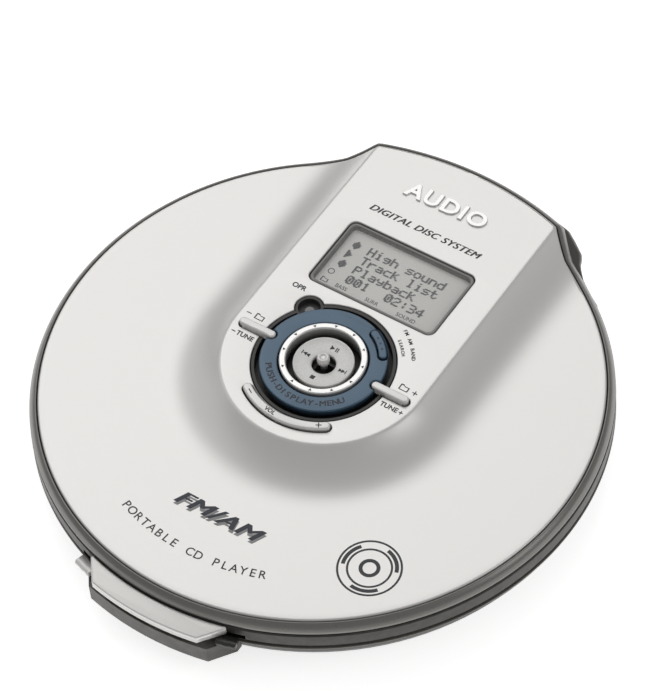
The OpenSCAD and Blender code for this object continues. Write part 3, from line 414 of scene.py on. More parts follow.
pearl = finish("pearl_lacquer", (0.80, 0.785, 0.765), metallic=0.5, rough=0.34, grain=2600.0, bump=0.035,
               cloud=14.0, vary=0.012, rough_vary=0.05, coat=0.25, coat_rough=0.22)
lid = piece("lid_panel_skin", *lid_shell(), pearl, "lid", "pearl_lid")
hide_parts("lid_panel")

# ---- chamfer ring
# The ring that frames the lid: satin grey lacquer on a moulded hoop. A fine dark groove parts it from the panel,
# its face slopes out to a rounded edge, and round the hinge end it climbs with the panel's edge.

ring_lo, ring_hi = box_mm("lid_ring")
RING_OUT = ring_hi[0] - LID_R - 0.2
RIM_FAR = np.clip((RIM[:, 1] - 46) / 6, 0, 1)


def ring_rows():
    """Section of the hoop carried round the rim: groove wall, top bead, bulging slope, rounded edge, underside.
    The hoop is as deep all the way round, so that it climbs with the panel's edge at the hinge end."""
    z0 = ring_lo[2]
    top = RIM_EDGE_Z
    low = np.maximum(z0, top - 2.75)
    ledge = -2.8 * (1 - RIM_FAR) + 0.25 * RIM_FAR
    section = [(0.25, low + 1.3), (0.25, top - 0.42), (0.32, top - 0.22), (0.46, top - 0.13), (0.64, top - 0.17)]
    for t in (0.12, 0.3, 0.5, 0.7, 0.88):
        section.append((0.64 + (RING_OUT - 0.8) * t + 0.12 * math.sin(math.pi * t),
                        (top - 0.17) * (1 - t) + (low + 1.0) * t + 0.1 * math.sin(math.pi * t)))
    section += [(RING_OUT - 0.12, low + 0.95), (RING_OUT, low + 0.72), (RING_OUT + 0.02, low + 0.45),
                (RING_OUT - 0.1, low + 0.15), (RING_OUT - 0.3, low), (ledge, low), (ledge, low + 1.3)]
    rows = [level(RIM + RIM_OUT * np.broadcast_to(o, top.shape)[:, None], z) for o, z in section]
    rows.append(rows[0])
    return clear_of_hinge(np.vstack(rows)), strip(0, len(rows), len(RIM))


def hinge_side():
    """The dark wall below the hoop round the hinge end: an open sweep along the rim from flank to flank, closed by
    a cap at each end. By the right corner it swells outwards as a rounded shoulder, after a table of widths."""
    run = np.flatnonzero((RIM[:, 1] > 49.5) & (RIM_EDGE_Z > ring_lo[2] + 2.92))
    path, out, z0 = RIM[run], RIM_OUT[run], ring_lo[2]
    top = np.maximum(RIM_EDGE_Z[run] - 2.7, z0 + 0.2)
    flank = np.interp(path[:, 1], CORNER[1] - np.array([18.0, 14, 10, 7, 5, 3.4, 1.6, 0]),
                      [0.0, 0.4, 1.3, 2.4, 3.1, 3.3, 2.9, 2.2])
    arc_end = np.interp(path[:, 0], [13.0, 16.0, 19.0, CORNER[0]], [0.0, 0.3, 1.1, 2.2])
    swell = np.where(path[:, 0] < 13, 0, np.where(path[:, 1] > CORNER[1] - 0.01, arc_end, flank))
    fade = np.clip((path[:, 1] - path[:, 1].min()) / 7.0, 0, 1)
    swell = swell * fade * fade * (3 - 2 * fade)
    mean = np.stack([np.convolve(np.pad(v, 4, "edge"), np.ones(9) / 9, "valid") for v in out.T], 1)
    out = np.where((swell > 0)[:, None], mean, out)
    out /= np.linalg.norm(out, axis=1)[:, None]
    section = [(0.3, z0), (RING_OUT - 0.25 + swell * 0.9, z0), (RING_OUT - 0.12 + swell, z0 + 0.35)]
    for t in (0.25, 0.5, 0.7, 0.85, 0.95):
        section.append((RING_OUT - 0.12 + swell * math.sqrt(1 - t ** 2.4), z0 + 0.35 + (top - z0 - 0.4) * t))
    section += [(RING_OUT - 0.35, top), (0.3, top)]
    rows = [level(path + out * np.broadcast_to(o, top.shape)[:, None], z) for o, z in section]
    m, n = len(rows), len(run)
    r, c = np.meshgrid(np.arange(m), np.arange(n - 1), indexing="ij")
    nxt = (r + 1) % m
    faces = np.stack([r * n + c, r * n + c + 1, nxt * n + c + 1, nxt * n + c], -1).reshape(-1, 4).tolist()
    faces += [[k * n for k in range(m)], [k * n + n - 1 for k in range(m)][::-1]]
    return clear_of_hinge(np.vstack(rows)), faces


ring_grey = finish("grey_lacquer", (0.21, 0.203, 0.192), metallic=0.6, rough=0.3, grain=2200.0, bump=0.03,
                   cloud=20.0, vary=0.02, coat=0.2, coat_rough=0.2)
ring = piece("lid_ring_skin", *ring_rows(), ring_grey, "lid", "grey_ring")
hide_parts("lid_ring")
# The hinge-end wall is the dark case plastic drawn much lighter than the case itself: its own dark colour plus a
# painted sheen.
hinge_side_sheen = finish("hinge_side_plastic_painted_sheen", (0.085, 0.08, 0.072), metallic=0.35, rough=0.36, grain=1500.0, bump=0.06,
                   vary=0.06, coat=0.25, coat_rough=0.2)
piece("hinge_side_wall", *hinge_side(), hinge_side_sheen, "lid", "dark_case")

# ---- dial group
# A dark well holds the blue bezel ring, the turning ring with its printed marks, the fixed dish and the stick.
# The bezel is lacquered, the turning ring plated, and the dish has a coarse pearl texture.

blue = finish("blue_lacquer", (0.045, 0.095, 0.15), metallic=0.35, rough=0.3, grain=2400.0, bump=0.03,
              cloud=90.0, vary=0.08, coat=0.5, coat_rough=0.12)
well_black_and_hole_shade = finish("well_plastic_and_painted_hole_shade", (0.045, 0.042, 0.04), rough=0.45, grain=1500.0, bump=0.12, vary=0.08)
BEZEL_Z = dial_hi[2]
BEZEL_R = (dial_hi[0] - dial_lo[0]) / 2
BAND = dict(r0=12.8, r1=14.7, mid=49.0, half=14.0)


def bezel_outline():
    """The bezel's outer circle with a notch each side for the bars."""
    half = BAR_HALF + KEY_GAP
    slot = math.degrees(math.asin(half / BEZEL_R))
    inner = bar_lo[0] - KEY_GAP + half
    return spaced(np.vstack([
        arc(*DIAL, BEZEL_R, slot, 180 - slot, 140), arc(-inner, DIAL[1], half, 90, -90, 20),
        arc(*DIAL, BEZEL_R, 180 + slot, 360 - slot, 140), arc(inner, DIAL[1], half, 270, 90, 20)]), 0.18)


jog_lo, jog_hi = box_mm("jog_ring")
JOG_R = (jog_hi[0] - jog_lo[0]) / 2
JOG_Z = jog_hi[2]
bezel = plate("bezel_ring", bezel_outline(),
              [spaced(arc(*DIAL, JOG_R + 0.35, 0, 360, 181)[:-1], 0.18),
               band(*DIAL, BAND["r0"] - 0.2, BAND["r1"] + 0.2, BAND["mid"], BAND["half"])],
              TONGUE_Z - 0.8, BEZEL_Z, 0.32, blue, "lid", "bezel_blue")
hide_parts("dial_bezel")

plated = finish("plated_ring", (0.84, 0.835, 0.82), metallic=0.6, rough=0.22, grain=3000.0, bump=0.02, vary=0.01)
jog = plate("turning_ring", spaced(arc(*DIAL, JOG_R, 0, 360, 241)[:-1], 0.14),
            [spaced(arc(*DIAL, JOG_R - 1.55, 0, 360, 241)[:-1], 0.14)], jog_lo[2], JOG_Z, 0.3, plated,
            "jog", "jog_silver")
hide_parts("jog_ring")


def turned(name, profile, material, body, slot, n=128):
    """A profile of (radius, height) points turned about the dial's axis; it starts and ends on the axis or closes
    on itself."""
    rows = [level(arc(*DIAL, r, 0, 360, n + 1)[:-1], z) for r, z in profile]
    return piece(name, np.vstack(rows), strip(0, len(rows), n), material, body, slot)


dish_lo, dish_hi = box_mm("dial_dish")
DISH_R = (dish_hi[0] - dish_lo[0]) / 2
DISH_Z = dish_hi[2] - 0.4
dish_pearl = finish("dish_texture", (0.92, 0.91, 0.89), metallic=0.12, rough=0.4, grain=5200.0, bump=0.5,
                    cloud=1800.0, vary=0.10, rough_vary=0.12)
dish_profile = [(r, DISH_Z + rise) for r, rise in (
    (2.85, -1.5), (2.85, -0.75), (2.95, -0.58), (3.2, -0.5), (4.2, -0.36), (5.4, -0.2), (6.3, -0.02), (6.7, 0.16),
    (6.95, 0.3), (DISH_R - 0.06, 0.22), (DISH_R, 0), (DISH_R, -1.5), (2.85, -1.5))]
dish = turned("dial_dish_skin", dish_profile, dish_pearl, "lid", "dish_silver")
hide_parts("dial_dish")

STICK_Z = box_mm("stick_cap")[1][2]
stick_profile = [(r, STICK_Z - drop) for r, drop in (
    (0, 4), (0.9, 4), (0.9, 2), (1.42, 1.85), (1.5, 1.7), (1.5, 0.5), (1.45, 0.25), (1.3, 0.08), (1.1, 0),
    (0.88, 0.02), (0.72, 0.12), (0.55, 0.24), (0.3, 0.26), (0, 0.22))]
key_silver = finish("key_lacquer", (0.80, 0.79, 0.775), metallic=0.3, rough=0.3, grain=2600.0, bump=0.03,
                    vary=0.015, coat=0.3, coat_rough=0.18)
stick = turned("stick_top", stick_profile, key_silver, "stick", "dish_silver")
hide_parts("stick_cap")

# ---- keys
# Two bars reach from the bezel out over the tongue, an arched rocker sets the volume, and a short key on the
# bezel picks the band. All are moulded caps with rounded edges that stand a millimetre proud.

for name, sign in (("tune_plus", 1), ("tune_minus", -1)):
    outline = capsule(bar_lo[0], bar_hi[0], DIAL[1], BAR_HALF)
    if sign < 0:
        outline = (outline * [-1, 1])[::-1]
    bar = plate(name + "_cap", outline, [], TONGUE_Z - 0.6, bar_hi[2], 0.38, key_silver, name, "dish_silver")
    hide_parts(name + "_bar")

rocker = plate("volume_cap", band(*DIAL, **ROCKER), [], TONGUE_Z - 0.7, rocker_hi[2], 0.38, key_silver, "volume",
               "dish_silver")
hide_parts("volume_rocker")
band_hi = box_mm("band_button")[1]
band_cap = plate("band_cap", band(*DIAL, **BAND), [], BEZEL_Z - 0.6, band_hi[2], 0.28, blue, "band_key",
                 "bezel_blue")
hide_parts("band_button")

# ---- front shelf and sliders
# A small silver shelf stands out under the ring at the front; the OPEN knob shows at its left end and the HOLD
# knob at its right. The shelf is lacquered, the knobs are moulded with a ribbed face.

shelf_lo = box_mm("front_shelf")[0]
SHELF_R = -shelf_lo[1]
SHELF_IN = LID_R + 2.25
shelf_outline = spaced(np.vstack([
    arc(0, 0, SHELF_R, -101.2, -78.8, 40),
    arc(17.9, -66.3, 0.5, -20, 100, 6),
    arc(0, 0, SHELF_IN, -75.2, -104.8, 50),
    arc(-17.9, -66.3, 0.5, 80, 200, 6)]), 0.3)
shelf_silver = finish("shelf_lacquer", (0.76, 0.75, 0.725), metallic=0.35, rough=0.34, grain=2400.0, bump=0.03,
                      vary=0.02, coat=0.2, coat_rough=0.2)
shelf = plate("shelf_skin", shelf_outline, [], shelf_lo[2], ring_lo[2] - 0.06, 0.35, shelf_silver, "body",
              "shelf_silver")
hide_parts("front_shelf")
KNOB_R = SHELF_IN + 2.15


def ribbed_knob(name, node, ribs, material, body, slot):
    """A slider knob that stands square on the front wall: a rounded block whose outer face is pressed into ribs.
    The face is a grid over width u and height v, pushed back by a rounded border and by a cosine along u."""
    lo, hi = box_mm(node)
    middle = (lo + hi) / 2
    out = np.array([middle[0], middle[1], 0]) / np.hypot(middle[0], middle[1])
    across = np.array([-out[1], out[0], 0])
    u, v = np.meshgrid(np.linspace(-1, 1, 61), np.linspace(-1, 1, 17), indexing="ij")
    w, h, depth = 2.4, (hi[2] - lo[2]) / 2 - 0.02, 1.3
    border = 0.45 * np.clip((np.maximum(np.abs(u) * w - (w - 0.45), np.abs(v) * h - (h - 0.45))) / 0.45, 0, 1) ** 2
    press = 0.05 * (1 - np.cos(math.pi * ribs * (u + 1))) * (1 - np.abs(u) ** 8)
    centre = out * KNOB_R + np.array([0, 0, middle[2]])
    grid = centre + across * (u * w)[..., None] + np.array([0, 0, 1]) * (v * h)[..., None]
    face, back = grid + out * (depth - border - press)[..., None], grid - out * depth
    verts = np.vstack([face.reshape(-1, 3), back.reshape(-1, 3)])
    i, j = np.meshgrid(np.arange(60), np.arange(16), indexing="ij")
    quad = np.stack([i * 17 + j, (i + 1) * 17 + j, (i + 1) * 17 + j + 1, i * 17 + j + 1], -1).reshape(-1, 4)
    n = 61 * 17
    rim = np.concatenate([np.arange(61) * 17, 60 * 17 + np.arange(1, 17), np.arange(59, -1, -1) * 17 + 16,
                          np.arange(15, 0, -1)])
    follow = np.roll(rim, -1)
    wall = np.stack([rim, follow, follow + n, rim + n], -1)
    faces = np.vstack([quad, quad[:, ::-1] + n, wall]).tolist()
    made = piece(name, verts, faces, material, body, slot)
    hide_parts(node)
    return made


knob_silver = finish("open_knob_lacquer", (0.80, 0.79, 0.77), metallic=0.3, rough=0.38, grain=2400.0, vary=0.02)
knob_dark = finish("hold_knob_plastic", (0.03, 0.029, 0.027), rough=0.28, grain=1800.0, bump=0.1, vary=0.06)
ribbed_knob("open_knob_cap", "open_slider", 2, knob_silver, "open_knob", "knob_silver")
ribbed_knob("hold_knob_cap", "hold_slider", 2, knob_dark, "hold_knob", "knob_dark")

# ---- body shells
# The upper and lower case halves are moulded in dark warm grey plastic with a fine grain; they meet at a seam
# round the waist and are held by screws from below.


def maths(nodes, operation, second=0.0):
    """A maths node whose second input starts at the given value."""
    node = nodes.new("ShaderNodeMath")
    node.operation = operation
    node.inputs[1].default_value = second
    return node


def edge_highlight_group():
    """Painted edge highlight: where the surface turns sharply, as the pointiness gives it, a broken mask near 1
    appears.
    """
    group = bpy.data.node_groups.new("painted_edge_highlight", "ShaderNodeTree")
    group.interface.new_socket("Level", in_out="INPUT", socket_type="NodeSocketFloat").default_value = 0.55
    group.interface.new_socket("Mask", in_out="OUTPUT", socket_type="NodeSocketFloat")
    nodes, links = group.nodes, group.links
    start, end = nodes.new("NodeGroupInput"), nodes.new("NodeGroupOutput")
    shape, place = nodes.new("ShaderNodeNewGeometry"), nodes.new("ShaderNodeTexCoord")
    noise = nodes.new("ShaderNodeTexNoise")
    noise.inputs["Scale"].default_value = 420.0
    over, gain, broken_mask = maths(nodes, "SUBTRACT"), maths(nodes, "MULTIPLY", 9.0), maths(nodes, "MULTIPLY")
    broken_mask.use_clamp = True
    links.new(place.outputs["Object"], noise.inputs["Vector"])
    links.new(shape.outputs["Pointiness"], over.inputs[0])
    links.new(start.outputs["Level"], over.inputs[1])
    links.new(over.outputs[0], gain.inputs[0])
    links.new(gain.outputs[0], broken_mask.inputs[0])
    links.new(noise.outputs["Fac"], broken_mask.inputs[1])
    links.new(broken_mask.outputs[0], end.inputs["Mask"])
    return group


EDGE_HIGHLIGHT = edge_highlight_group()


def highlight_edges(material):
    """Lightens a finish along its edges as a painted highlight."""
    nodes, links = material.node_tree.nodes, material.node_tree.links
    shader = nodes["Principled BSDF"]
    colour = shader.inputs["Base Color"].links[0].from_socket
    mask = nodes.new("ShaderNodeGroup")
    mask.node_tree = EDGE_HIGHLIGHT
    mask.inputs["Level"].default_value = 0.54
    scale = maths(nodes, "MULTIPLY", 0.5)
    links.new(mask.outputs["Mask"], scale.inputs[0])
    mix = nodes.new("ShaderNodeMixRGB")
    mix.inputs["Color2"].default_value = (0.32, 0.31, 0.29, 1)
    links.new(colour, mix.inputs["Color1"])
    links.new(scale.outputs[0], mix.inputs["Fac"])
    links.new(mix.outputs["Color"], shader.inputs["Base Color"])
    return material


def dress(material, *nodes):
    """Gives CAD nodes a finish."""
    for node in nodes:
        shape = frame["nodes"][node]
        shape.data.materials.clear()
        shape.data.materials.append(material)


# Both case finishes are lightened along their edges: a painted highlight, not wear.
case_dark = highlight_edges(finish("case_plastic", (0.021, 0.019, 0.0165), specular=0.35, rough=0.42, grain=1300.0, bump=0.1,
                        cloud=35.0, vary=0.08, coat=0.1, coat_rough=0.3))
base_dark = highlight_edges(finish("base_plastic", (0.034, 0.031, 0.027), specular=0.4, rough=0.45, grain=1100.0, bump=0.12,
                        cloud=30.0, vary=0.08, coat=0.1, coat_rough=0.3))
dress(case_dark, "upper_case", "hinge_barrel", "hinge_bracket", "latch_catch", "lid_inner_cover")
dress(base_dark, "bottom_case", "battery_cover")
dress(knob_dark, "latch_hook")
BODY_R = box_mm("upper_case")[1][0]


def body_outline(flare):
    """The body's plan at the seam, counter-clockwise: for each direction the larger of the round body's radius and
    the farthest point that still lies inside the flared hinge end grown by flare."""
    a = np.linspace(0, 2 * math.pi, 721)[:-1]
    direction = np.stack([np.cos(a), np.sin(a)], 1)
    trial = np.full((720, 1), BODY_R - 4) + np.arange(0, 12, 0.02)
    x, y = np.abs(trial * direction[:, :1]), trial * direction[:, 1:]
    top = np.sqrt((BACK_R + flare) ** 2 - x ** 2) + BACK_Y - BACK_R
    corner = flank_line(flare)[1][-1]
    beside = (y >= corner) & (x < CORNER[0] + CORNER_WAY[0] * flare)
    inside = (y > 50) & (y < top) & ((x < flank_x(y, flare)) | beside)
    return direction * np.maximum(BODY_R, np.where(inside, trial, 0).max(1))[:, None]


def sweep_loop(name, loop, section, material, body, slot):
    """A closed section of (outward, height) points carried round a closed loop."""
    out = -side(loop)
    rows = [level(loop + out * o, z) for o, z in section + section[:1]]
    return piece(name, np.vstack(rows), strip(0, len(rows), len(loop)), material, body, slot)


# A lighter grey strip carried round just under the seam is a painted highlight: it stands for the light line where
# the seam's edge catches the light.
seam_highlight_strip = finish("painted_seam_highlight", (0.30, 0.29, 0.27), metallic=0.45, rough=0.32, grain=1800.0, vary=0.03)
seam_z = box_mm("upper_case")[0][2]
seam_section = [(o, seam_z - drop) for o, drop in (
    (-0.8, 0.27), (-0.02, 0.27), (0.08, 0.18), (0.08, 0.09), (-0.02, 0.03), (-0.8, 0.03))]
sweep_loop("seam_highlight_strip", body_outline(3.9), seam_section, seam_highlight_strip, "body", "grey_ring")

# ---- display
# A liquid crystal panel lies in a dark frame below the tongue under a clear window. Its dots are dark and throw
# a soft shadow on the grey ground; rows of dots spell the track and the mode.

frame_dark = finish("display_frame_plastic", (0.27, 0.265, 0.255), rough=0.36, grain=1600.0, bump=0.06, vary=0.05,
                    coat=0.2, coat_rough=0.2)
frame_hole = rounded_rect(*WIN_C, WIN_W - 1.5, WIN_D - 1.5, 1.4)
frame_wall = plate("display_frame", rounded_rect(*WIN_C, WIN_W, WIN_D, 1.75), [frame_hole], window_lo[2],
                   window_hi[2], 0.35, frame_dark, "lid", "inner_black")
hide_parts("lcd_bezel")

panel_grey = finish("display_ground", (0.84, 0.825, 0.79), rough=0.38, grain=3200.0, bump=0.02, cloud=45.0,
                    vary=0.02, specular=0.35)
pane = rounded_rect(*WIN_C, WIN_W - 1.6, WIN_D - 1.6, 1.3)
panel_top = window_hi[2] - 1.55
ground = plate("display_ground", pane, [], box_mm("lcd_panel")[0][2], panel_top, 0.05, panel_grey, "lid", "display")
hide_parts("lcd_panel")
DOTS = {
    "A": "01110 10001 10001 11111 10001 10001 10001", "H": "10001 10001 10001 11111 10001 10001 10001",
    "P": "11110 10001 10001 11110 10000 10000 10000", "T": "11111 00100 00100 00100 00100 00100 00100",
    "a": "00000 00000 01110 00001 01111 10001 01111", "b": "10000 10000 11110 10001 10001 10001 11110",
    "c": "00000 00000 01111 10000 10000 10000 01111", "d": "00001 00001 01111 10001 10001 10001 01111",
    "g": "00000 00000 01111 10001 01111 00001 01110", "h": "10000 10000 11110 10001 10001 10001 10001",
    "i": "00100 00000 01100 00100 00100 00100 01110", "k": "10000 10010 10100 11000 10100 10010 10001",
    "l": "01100 00100 00100 00100 00100 00100 01110", "n": "00000 00000 11110 10001 10001 10001 10001",
    "o": "00000 00000 01110 10001 10001 10001 01110", "r": "00000 00000 10111 11000 10000 10000 10000",
    "s": "00000 00000 01111 10000 01110 00001 11110", "t": "01000 01000 11110 01000 01000 01001 00110",
    "u": "00000 00000 10001 10001 10001 10001 01111", "y": "00000 00000 10001 10001 01111 00001 01110",
    "0": "01110 10011 10101 10101 10101 11001 01110", "1": "00100 01100 00100 00100 00100 00100 01110",
    "2": "01110 10001 00001 00110 01000 10000 11111", "3": "11110 00001 00001 01110 00001 00001 11110",
    "4": "00010 00110 01010 10010 11111 00010 00010", ":": "00000 00100 00100 00000 00100 00100 00000",
    "*": "00100 01110 11111 11111 11111 01110 00100", ">": "10000 11000 11100 11110 11100 11000 10000",
    " ": "00000 00000 00000 00000 00000 00000 00000"}
CELL = 0.36
ROWS = (("* High sound", 36.9), ("> Track list", 33.7), ("* Playback", 30.5), ("  001  02:34", 27.3))


def dot_squares():
    """Centres of every dark dot: for each letter the pattern's ones, laid at the cell pitch."""
    points = []
    for words, y in ROWS:
        for i, letter in enumerate(words):
            pattern = DOTS[letter].split()
            points += [(-14.0 + i * CELL * 6 + c * CELL, y - r * CELL)
                       for r in range(7) for c in range(5) if pattern[r][c] == "1"]
    return np.array(points)


def blocks(centres, size, z0, z1):
    """Vertices and faces of flat square blocks about the centres, as one array of eight corners each."""
    corner = np.array([(-1, -1), (1, -1), (1, 1), (-1, 1)]) * size / 2
    flat = (centres[:, None, :] + corner).reshape(-1, 2)
    base = np.arange(len(centres))[:, None] * 4
    n = len(flat)
    shape = np.array([[0, 1, 1 + n, n], [1, 2, 2 + n, 1 + n], [2, 3, 3 + n, 2 + n], [3, 0, n, 3 + n]])
    sides = (base[:, None, :] + shape).reshape(-1, 4)
    top, bottom = base + np.arange(4) + n, base + np.array([3, 2, 1, 0])
    return np.vstack([level(flat, z0), level(flat, z1)]), np.vstack([sides, top, bottom]).tolist()


EDGE_LINE_Y = WIN_C[1] - WIN_D / 2 + 2.6
dot_ink = finish("display_dots", (0.03, 0.03, 0.036), rough=0.4, grain=2000.0, bump=0.02, vary=0.05)
dot_shade = finish("display_dot_shadow", (0.29, 0.28, 0.265), rough=0.45, grain=2000.0, bump=0.02, vary=0.05)
squares = dot_squares()
piece("display_dots", *blocks(squares, CELL * 0.97, panel_top + 0.03, panel_top + 0.06), dot_ink, "lid",
      "display", smooth=False)
piece("display_dot_shadow", *blocks(squares + [0.22, 0.1], CELL * 0.98, panel_top + 0.002, panel_top + 0.012),
      dot_shade, "lid", "display", smooth=False)

glass = finish("clear_window", (0.9, 0.9, 0.9), rough=0.02, grain=300.0, bump=0.0, cloud=80.0, vary=0.0,
               rough_vary=0.02, alpha=0.1)
dress(glass, "objective_lens")
cover = plate("display_window", pane, [], window_hi[2] - 1.2, window_hi[2] - 0.8, 0.05, glass, "lid", "display")
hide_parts("lcd_glass")

# ---- lettering
# Names of the keys and plain words are printed in thin ink on the lid; one word is moulded in relief behind the
# display. Words on a curve are laid letter by letter.


def letters(words, size, bold=0.0, slant=0.0, depth=0.01, bevel=0.0, spacing=1.0, stretch=1.0):
    """A word in the built-in face as a mesh in millimetres, centred on the origin and stretched along X."""
    curve = bpy.data.curves.new("word", "FONT")
    curve.body = words
    curve.size = size
    curve.align_x, curve.align_y = "CENTER", "CENTER"
    curve.offset = bold
    curve.shear = slant
    curve.extrude = depth
    curve.bevel_depth = bevel
    curve.bevel_resolution = 2
    curve.space_character = spacing
    curve.resolution_u = 5
    holder = bpy.data.objects.new("word", curve)
    bpy.context.collection.objects.link(holder)
    bpy.context.view_layer.update()
    mesh = bpy.data.meshes.new_from_object(holder.evaluated_get(bpy.context.evaluated_depsgraph_get()))
    bpy.data.objects.remove(holder)
    co = np.empty(len(mesh.vertices) * 3)
    mesh.vertices.foreach_get("co", co)
    faces = [list(p.vertices) for p in mesh.polygons]
    bpy.data.meshes.remove(mesh)
    return co.reshape(-1, 3) * [stretch, 1, 1], faces


class Print:
    """A set of words that share an ink and become one piece."""

    def __init__(self, name, material, body, slot):
        """An empty set."""
        self.name, self.material, self.body, self.slot = name, material, body, slot
        self.verts, self.faces, self.count = [], [], 0

    def add(self, verts, faces):
        """Takes in vertices and the faces that number them from zero."""
        self.verts.append(verts)
        self.faces += [[i + self.count for i in f] for f in faces]
        self.count += len(verts)

    def word(self, words, size, x, y, z, turn=0.0, heavy=0.0, **style):
        """A word at (x, y) on height z, turned in the plane; z may be a function that gives the surface. A heavy
        word is struck five times over, spread by heavy to each side."""
        co, faces = letters(words, size, **style)
        c, s = math.cos(math.radians(turn)), math.sin(math.radians(turn))
        for k, shift in enumerate(np.linspace(-heavy, heavy, 5 if heavy else 1)):
            px, py = x + c * (co[:, 0] + shift) - s * co[:, 1], y + s * (co[:, 0] + shift) + c * co[:, 1]
            ground = z(px, py) if callable(z) else z
            self.add(np.column_stack([px, py, ground + co[:, 2] + 0.03 + 0.003 * k]), faces)

    def arc_word(self, words, size, cx, cy, r, mid, pitch, z, inward=False, **style):
        """Letters along a circle, mid at the middle angle; inward text reads from inside the circle's foot."""
        way = 1 if inward else -1
        for i, letter in enumerate(words):
            a = mid + way * math.degrees(pitch * (i - (len(words) - 1) / 2) / r)
            if letter != " ":
                self.word(letter, size, *polar((cx, cy), r, a), z, turn=a + way * 90, **style)

    def ring(self, x, y, r, width, z, a0=0, a1=360):
        """A thin ring or arc of ink."""
        n = 49
        rows = []
        near, far = r - width / 2, r + width / 2
        for rr, lift in ((near, 0.0), (far, 0.0), (far, 0.012), (near, 0.012)):
            line = arc(x, y, rr, a0, a1, n)
            rows.append(level(line, (z(*line.T) if callable(z) else z) + lift))
        faces = [[k * n + i, k * n + i + 1, ((k + 1) % 4) * n + i + 1, ((k + 1) % 4) * n + i]
                 for k in range(4) for i in range(n - 1)]
        if a1 - a0 < 360:
            faces += [[0, n, 2 * n, 3 * n], [n - 1, 4 * n - 1, 3 * n - 1, 2 * n - 1]]
        self.add(np.vstack(rows), faces)

    def shape(self, points, z, thick=0.012):
        """A flat filled outline of ink."""
        points = np.asarray(points, float)
        n = len(points)
        ground = z(*points.T) if callable(z) else z
        tris = filled([points], 0)
        walls = [[i, (i + 1) % n, (i + 1) % n + n, i + n] for i in range(n)]
        self.add(np.vstack([level(points, ground), level(points, ground + thick)]),
                 walls + [[i + n for i in t] for t in tris] + [t[::-1] for t in tris])

    def sign(self, x, y, w, z, turn=0.0, plus=False):
        """A minus sign, or a plus sign as a twelve-cornered outline."""
        t, h = 0.12, w / 2
        corners = np.array([(-h, -t), (-t, -t), (-t, -h), (t, -h), (t, -t), (h, -t), (h, t), (t, t), (t, h),
                            (-t, h), (-t, t), (-h, t)] if plus else [(-h, -t), (h, -t), (h, t), (-h, t)])
        c, s = math.cos(math.radians(turn)), math.sin(math.radians(turn))
        self.shape(np.array([x, y]) + corners @ np.array([[c, s], [-s, c]]), z, thick=0.03)

    def outline(self, outer, inner, z):
        """A frame of ink between two loops with as many points."""
        n, m = len(outer), len(outer) * 2
        flat = np.vstack([outer, inner])
        i = np.arange(n)
        j = (i + 1) % n
        faces = np.vstack([np.stack(quad, -1) for quad in (
            (i + m, j + m, j + n + m, i + n + m), (i, i + n, j + n, j), (i, j, j + m, i + m),
            (i + n, i + n + m, j + n + m, j + n))])
        self.add(np.vstack([level(flat, z), level(flat, z + 0.03)]), faces.tolist())

    def make(self):
        """The words as one piece."""
        return piece(self.name, np.vstack(self.verts), self.faces, self.material, self.body, self.slot, False)


ink_dark = finish("dark_ink", (0.028, 0.03, 0.034), rough=0.4, grain=2500.0, bump=0.03, vary=0.05)
# Grey for the painted drop shadow under FM/AM.
painted_shadow_grey = finish("fm_am_painted_shadow", (0.30, 0.30, 0.30), rough=0.42, grain=2500.0, bump=0.03, vary=0.05)
ink_blue = finish("blue_ink", (0.008, 0.012, 0.028), rough=0.35, grain=2500.0, bump=0.03, vary=0.05)
lid_top = TONGUE_Z
skin = skirt_height

dark = Print("dark_print", ink_dark, "lid", "pearl_lid")
dark.word("OPR", 1.9, -17.2, 17.3, lid_top, bold=0.05)
for sign in (-1, 1):
    dark.word("TUNE", 1.8, sign * 19.9, DIAL[1] - 3.1, lid_top, bold=0.05)
    dark.sign(sign * 23.1, DIAL[1] - 3.1, 1.1, lid_top, plus=sign > 0)
    dark.sign(sign * 22.9, DIAL[1] + 3.2, 1.3, lid_top, plus=sign > 0)
    at = np.array([sign * 20.0, DIAL[1] + 3.2])
    folder = np.array([(-1.2, -0.75), (1.2, -0.75), (1.2, 0.6), (-0.1, 0.6), (-0.4, 0.95), (-1.2, 0.95)])
    dark.outline(folder + at, folder * [0.76, 0.7] + at - [0, 0.02], lid_top)
dark.arc_word("FM AM BAND", 1.25, *DIAL, 20.7, 45, 0.95, lid_top, bold=0.035)
dark.arc_word("SEARCH", 1.1, *DIAL, 18.4, 44, 0.85, lid_top, bold=0.035)
dark.arc_word("PORTABLE CD PLAYER", 3.0, 0, 0, 55.2, -89.8, 2.22, skin, inward=True, bold=0.02)
DISC_MARK = (38, -38)
for r, width in ((7.2, 0.5), (5.0, 0.5), (2.0, 0.9)):
    dark.ring(*DISC_MARK, r, width, skin)
for a in (20, 140, 260):
    dark.ring(*DISC_MARK, 6.1, 0.9, skin, a, a + 60)
dark.make()

mode = Print("mode_print", ink_blue, "lid", "pearl_lid")
mode.word("FM/AM", 5.1, 0.8, -44.0, skin, slant=0.35, heavy=0.24, spacing=1.04, stretch=1.42)
mode.make()
# A grey copy of FM/AM, offset and laid just under the letters, is a painted drop shadow.
mode_shade = Print("mode_print_shadow", painted_shadow_grey, "lid", "pearl_lid")
mode_shade.word("FM/AM", 5.1, 1.2, -44.7, lambda x, y: skin(x, y) - 0.02, slant=0.35, heavy=0.24, depth=0.006,
                spacing=1.04, stretch=1.42)
mode_shade.make()

relief_word = Print("raised_word", plated, "lid", "pearl_lid")
relief_word.word("AUDIO", 5.9, -0.4, 55.8, lid_top + 0.15, depth=0.2, bevel=0.08, bold=0.14, spacing=1.12,
                 stretch=1.08)
relief_word.make()
line = Print("line_print", ink_dark, "lid", "pearl_lid")
line.word("DIGITAL DISC SYSTEM", 2.55, -1.0, 46.6, lid_top, slant=0.3, heavy=0.09, spacing=1.08, stretch=1.13)
line.make()

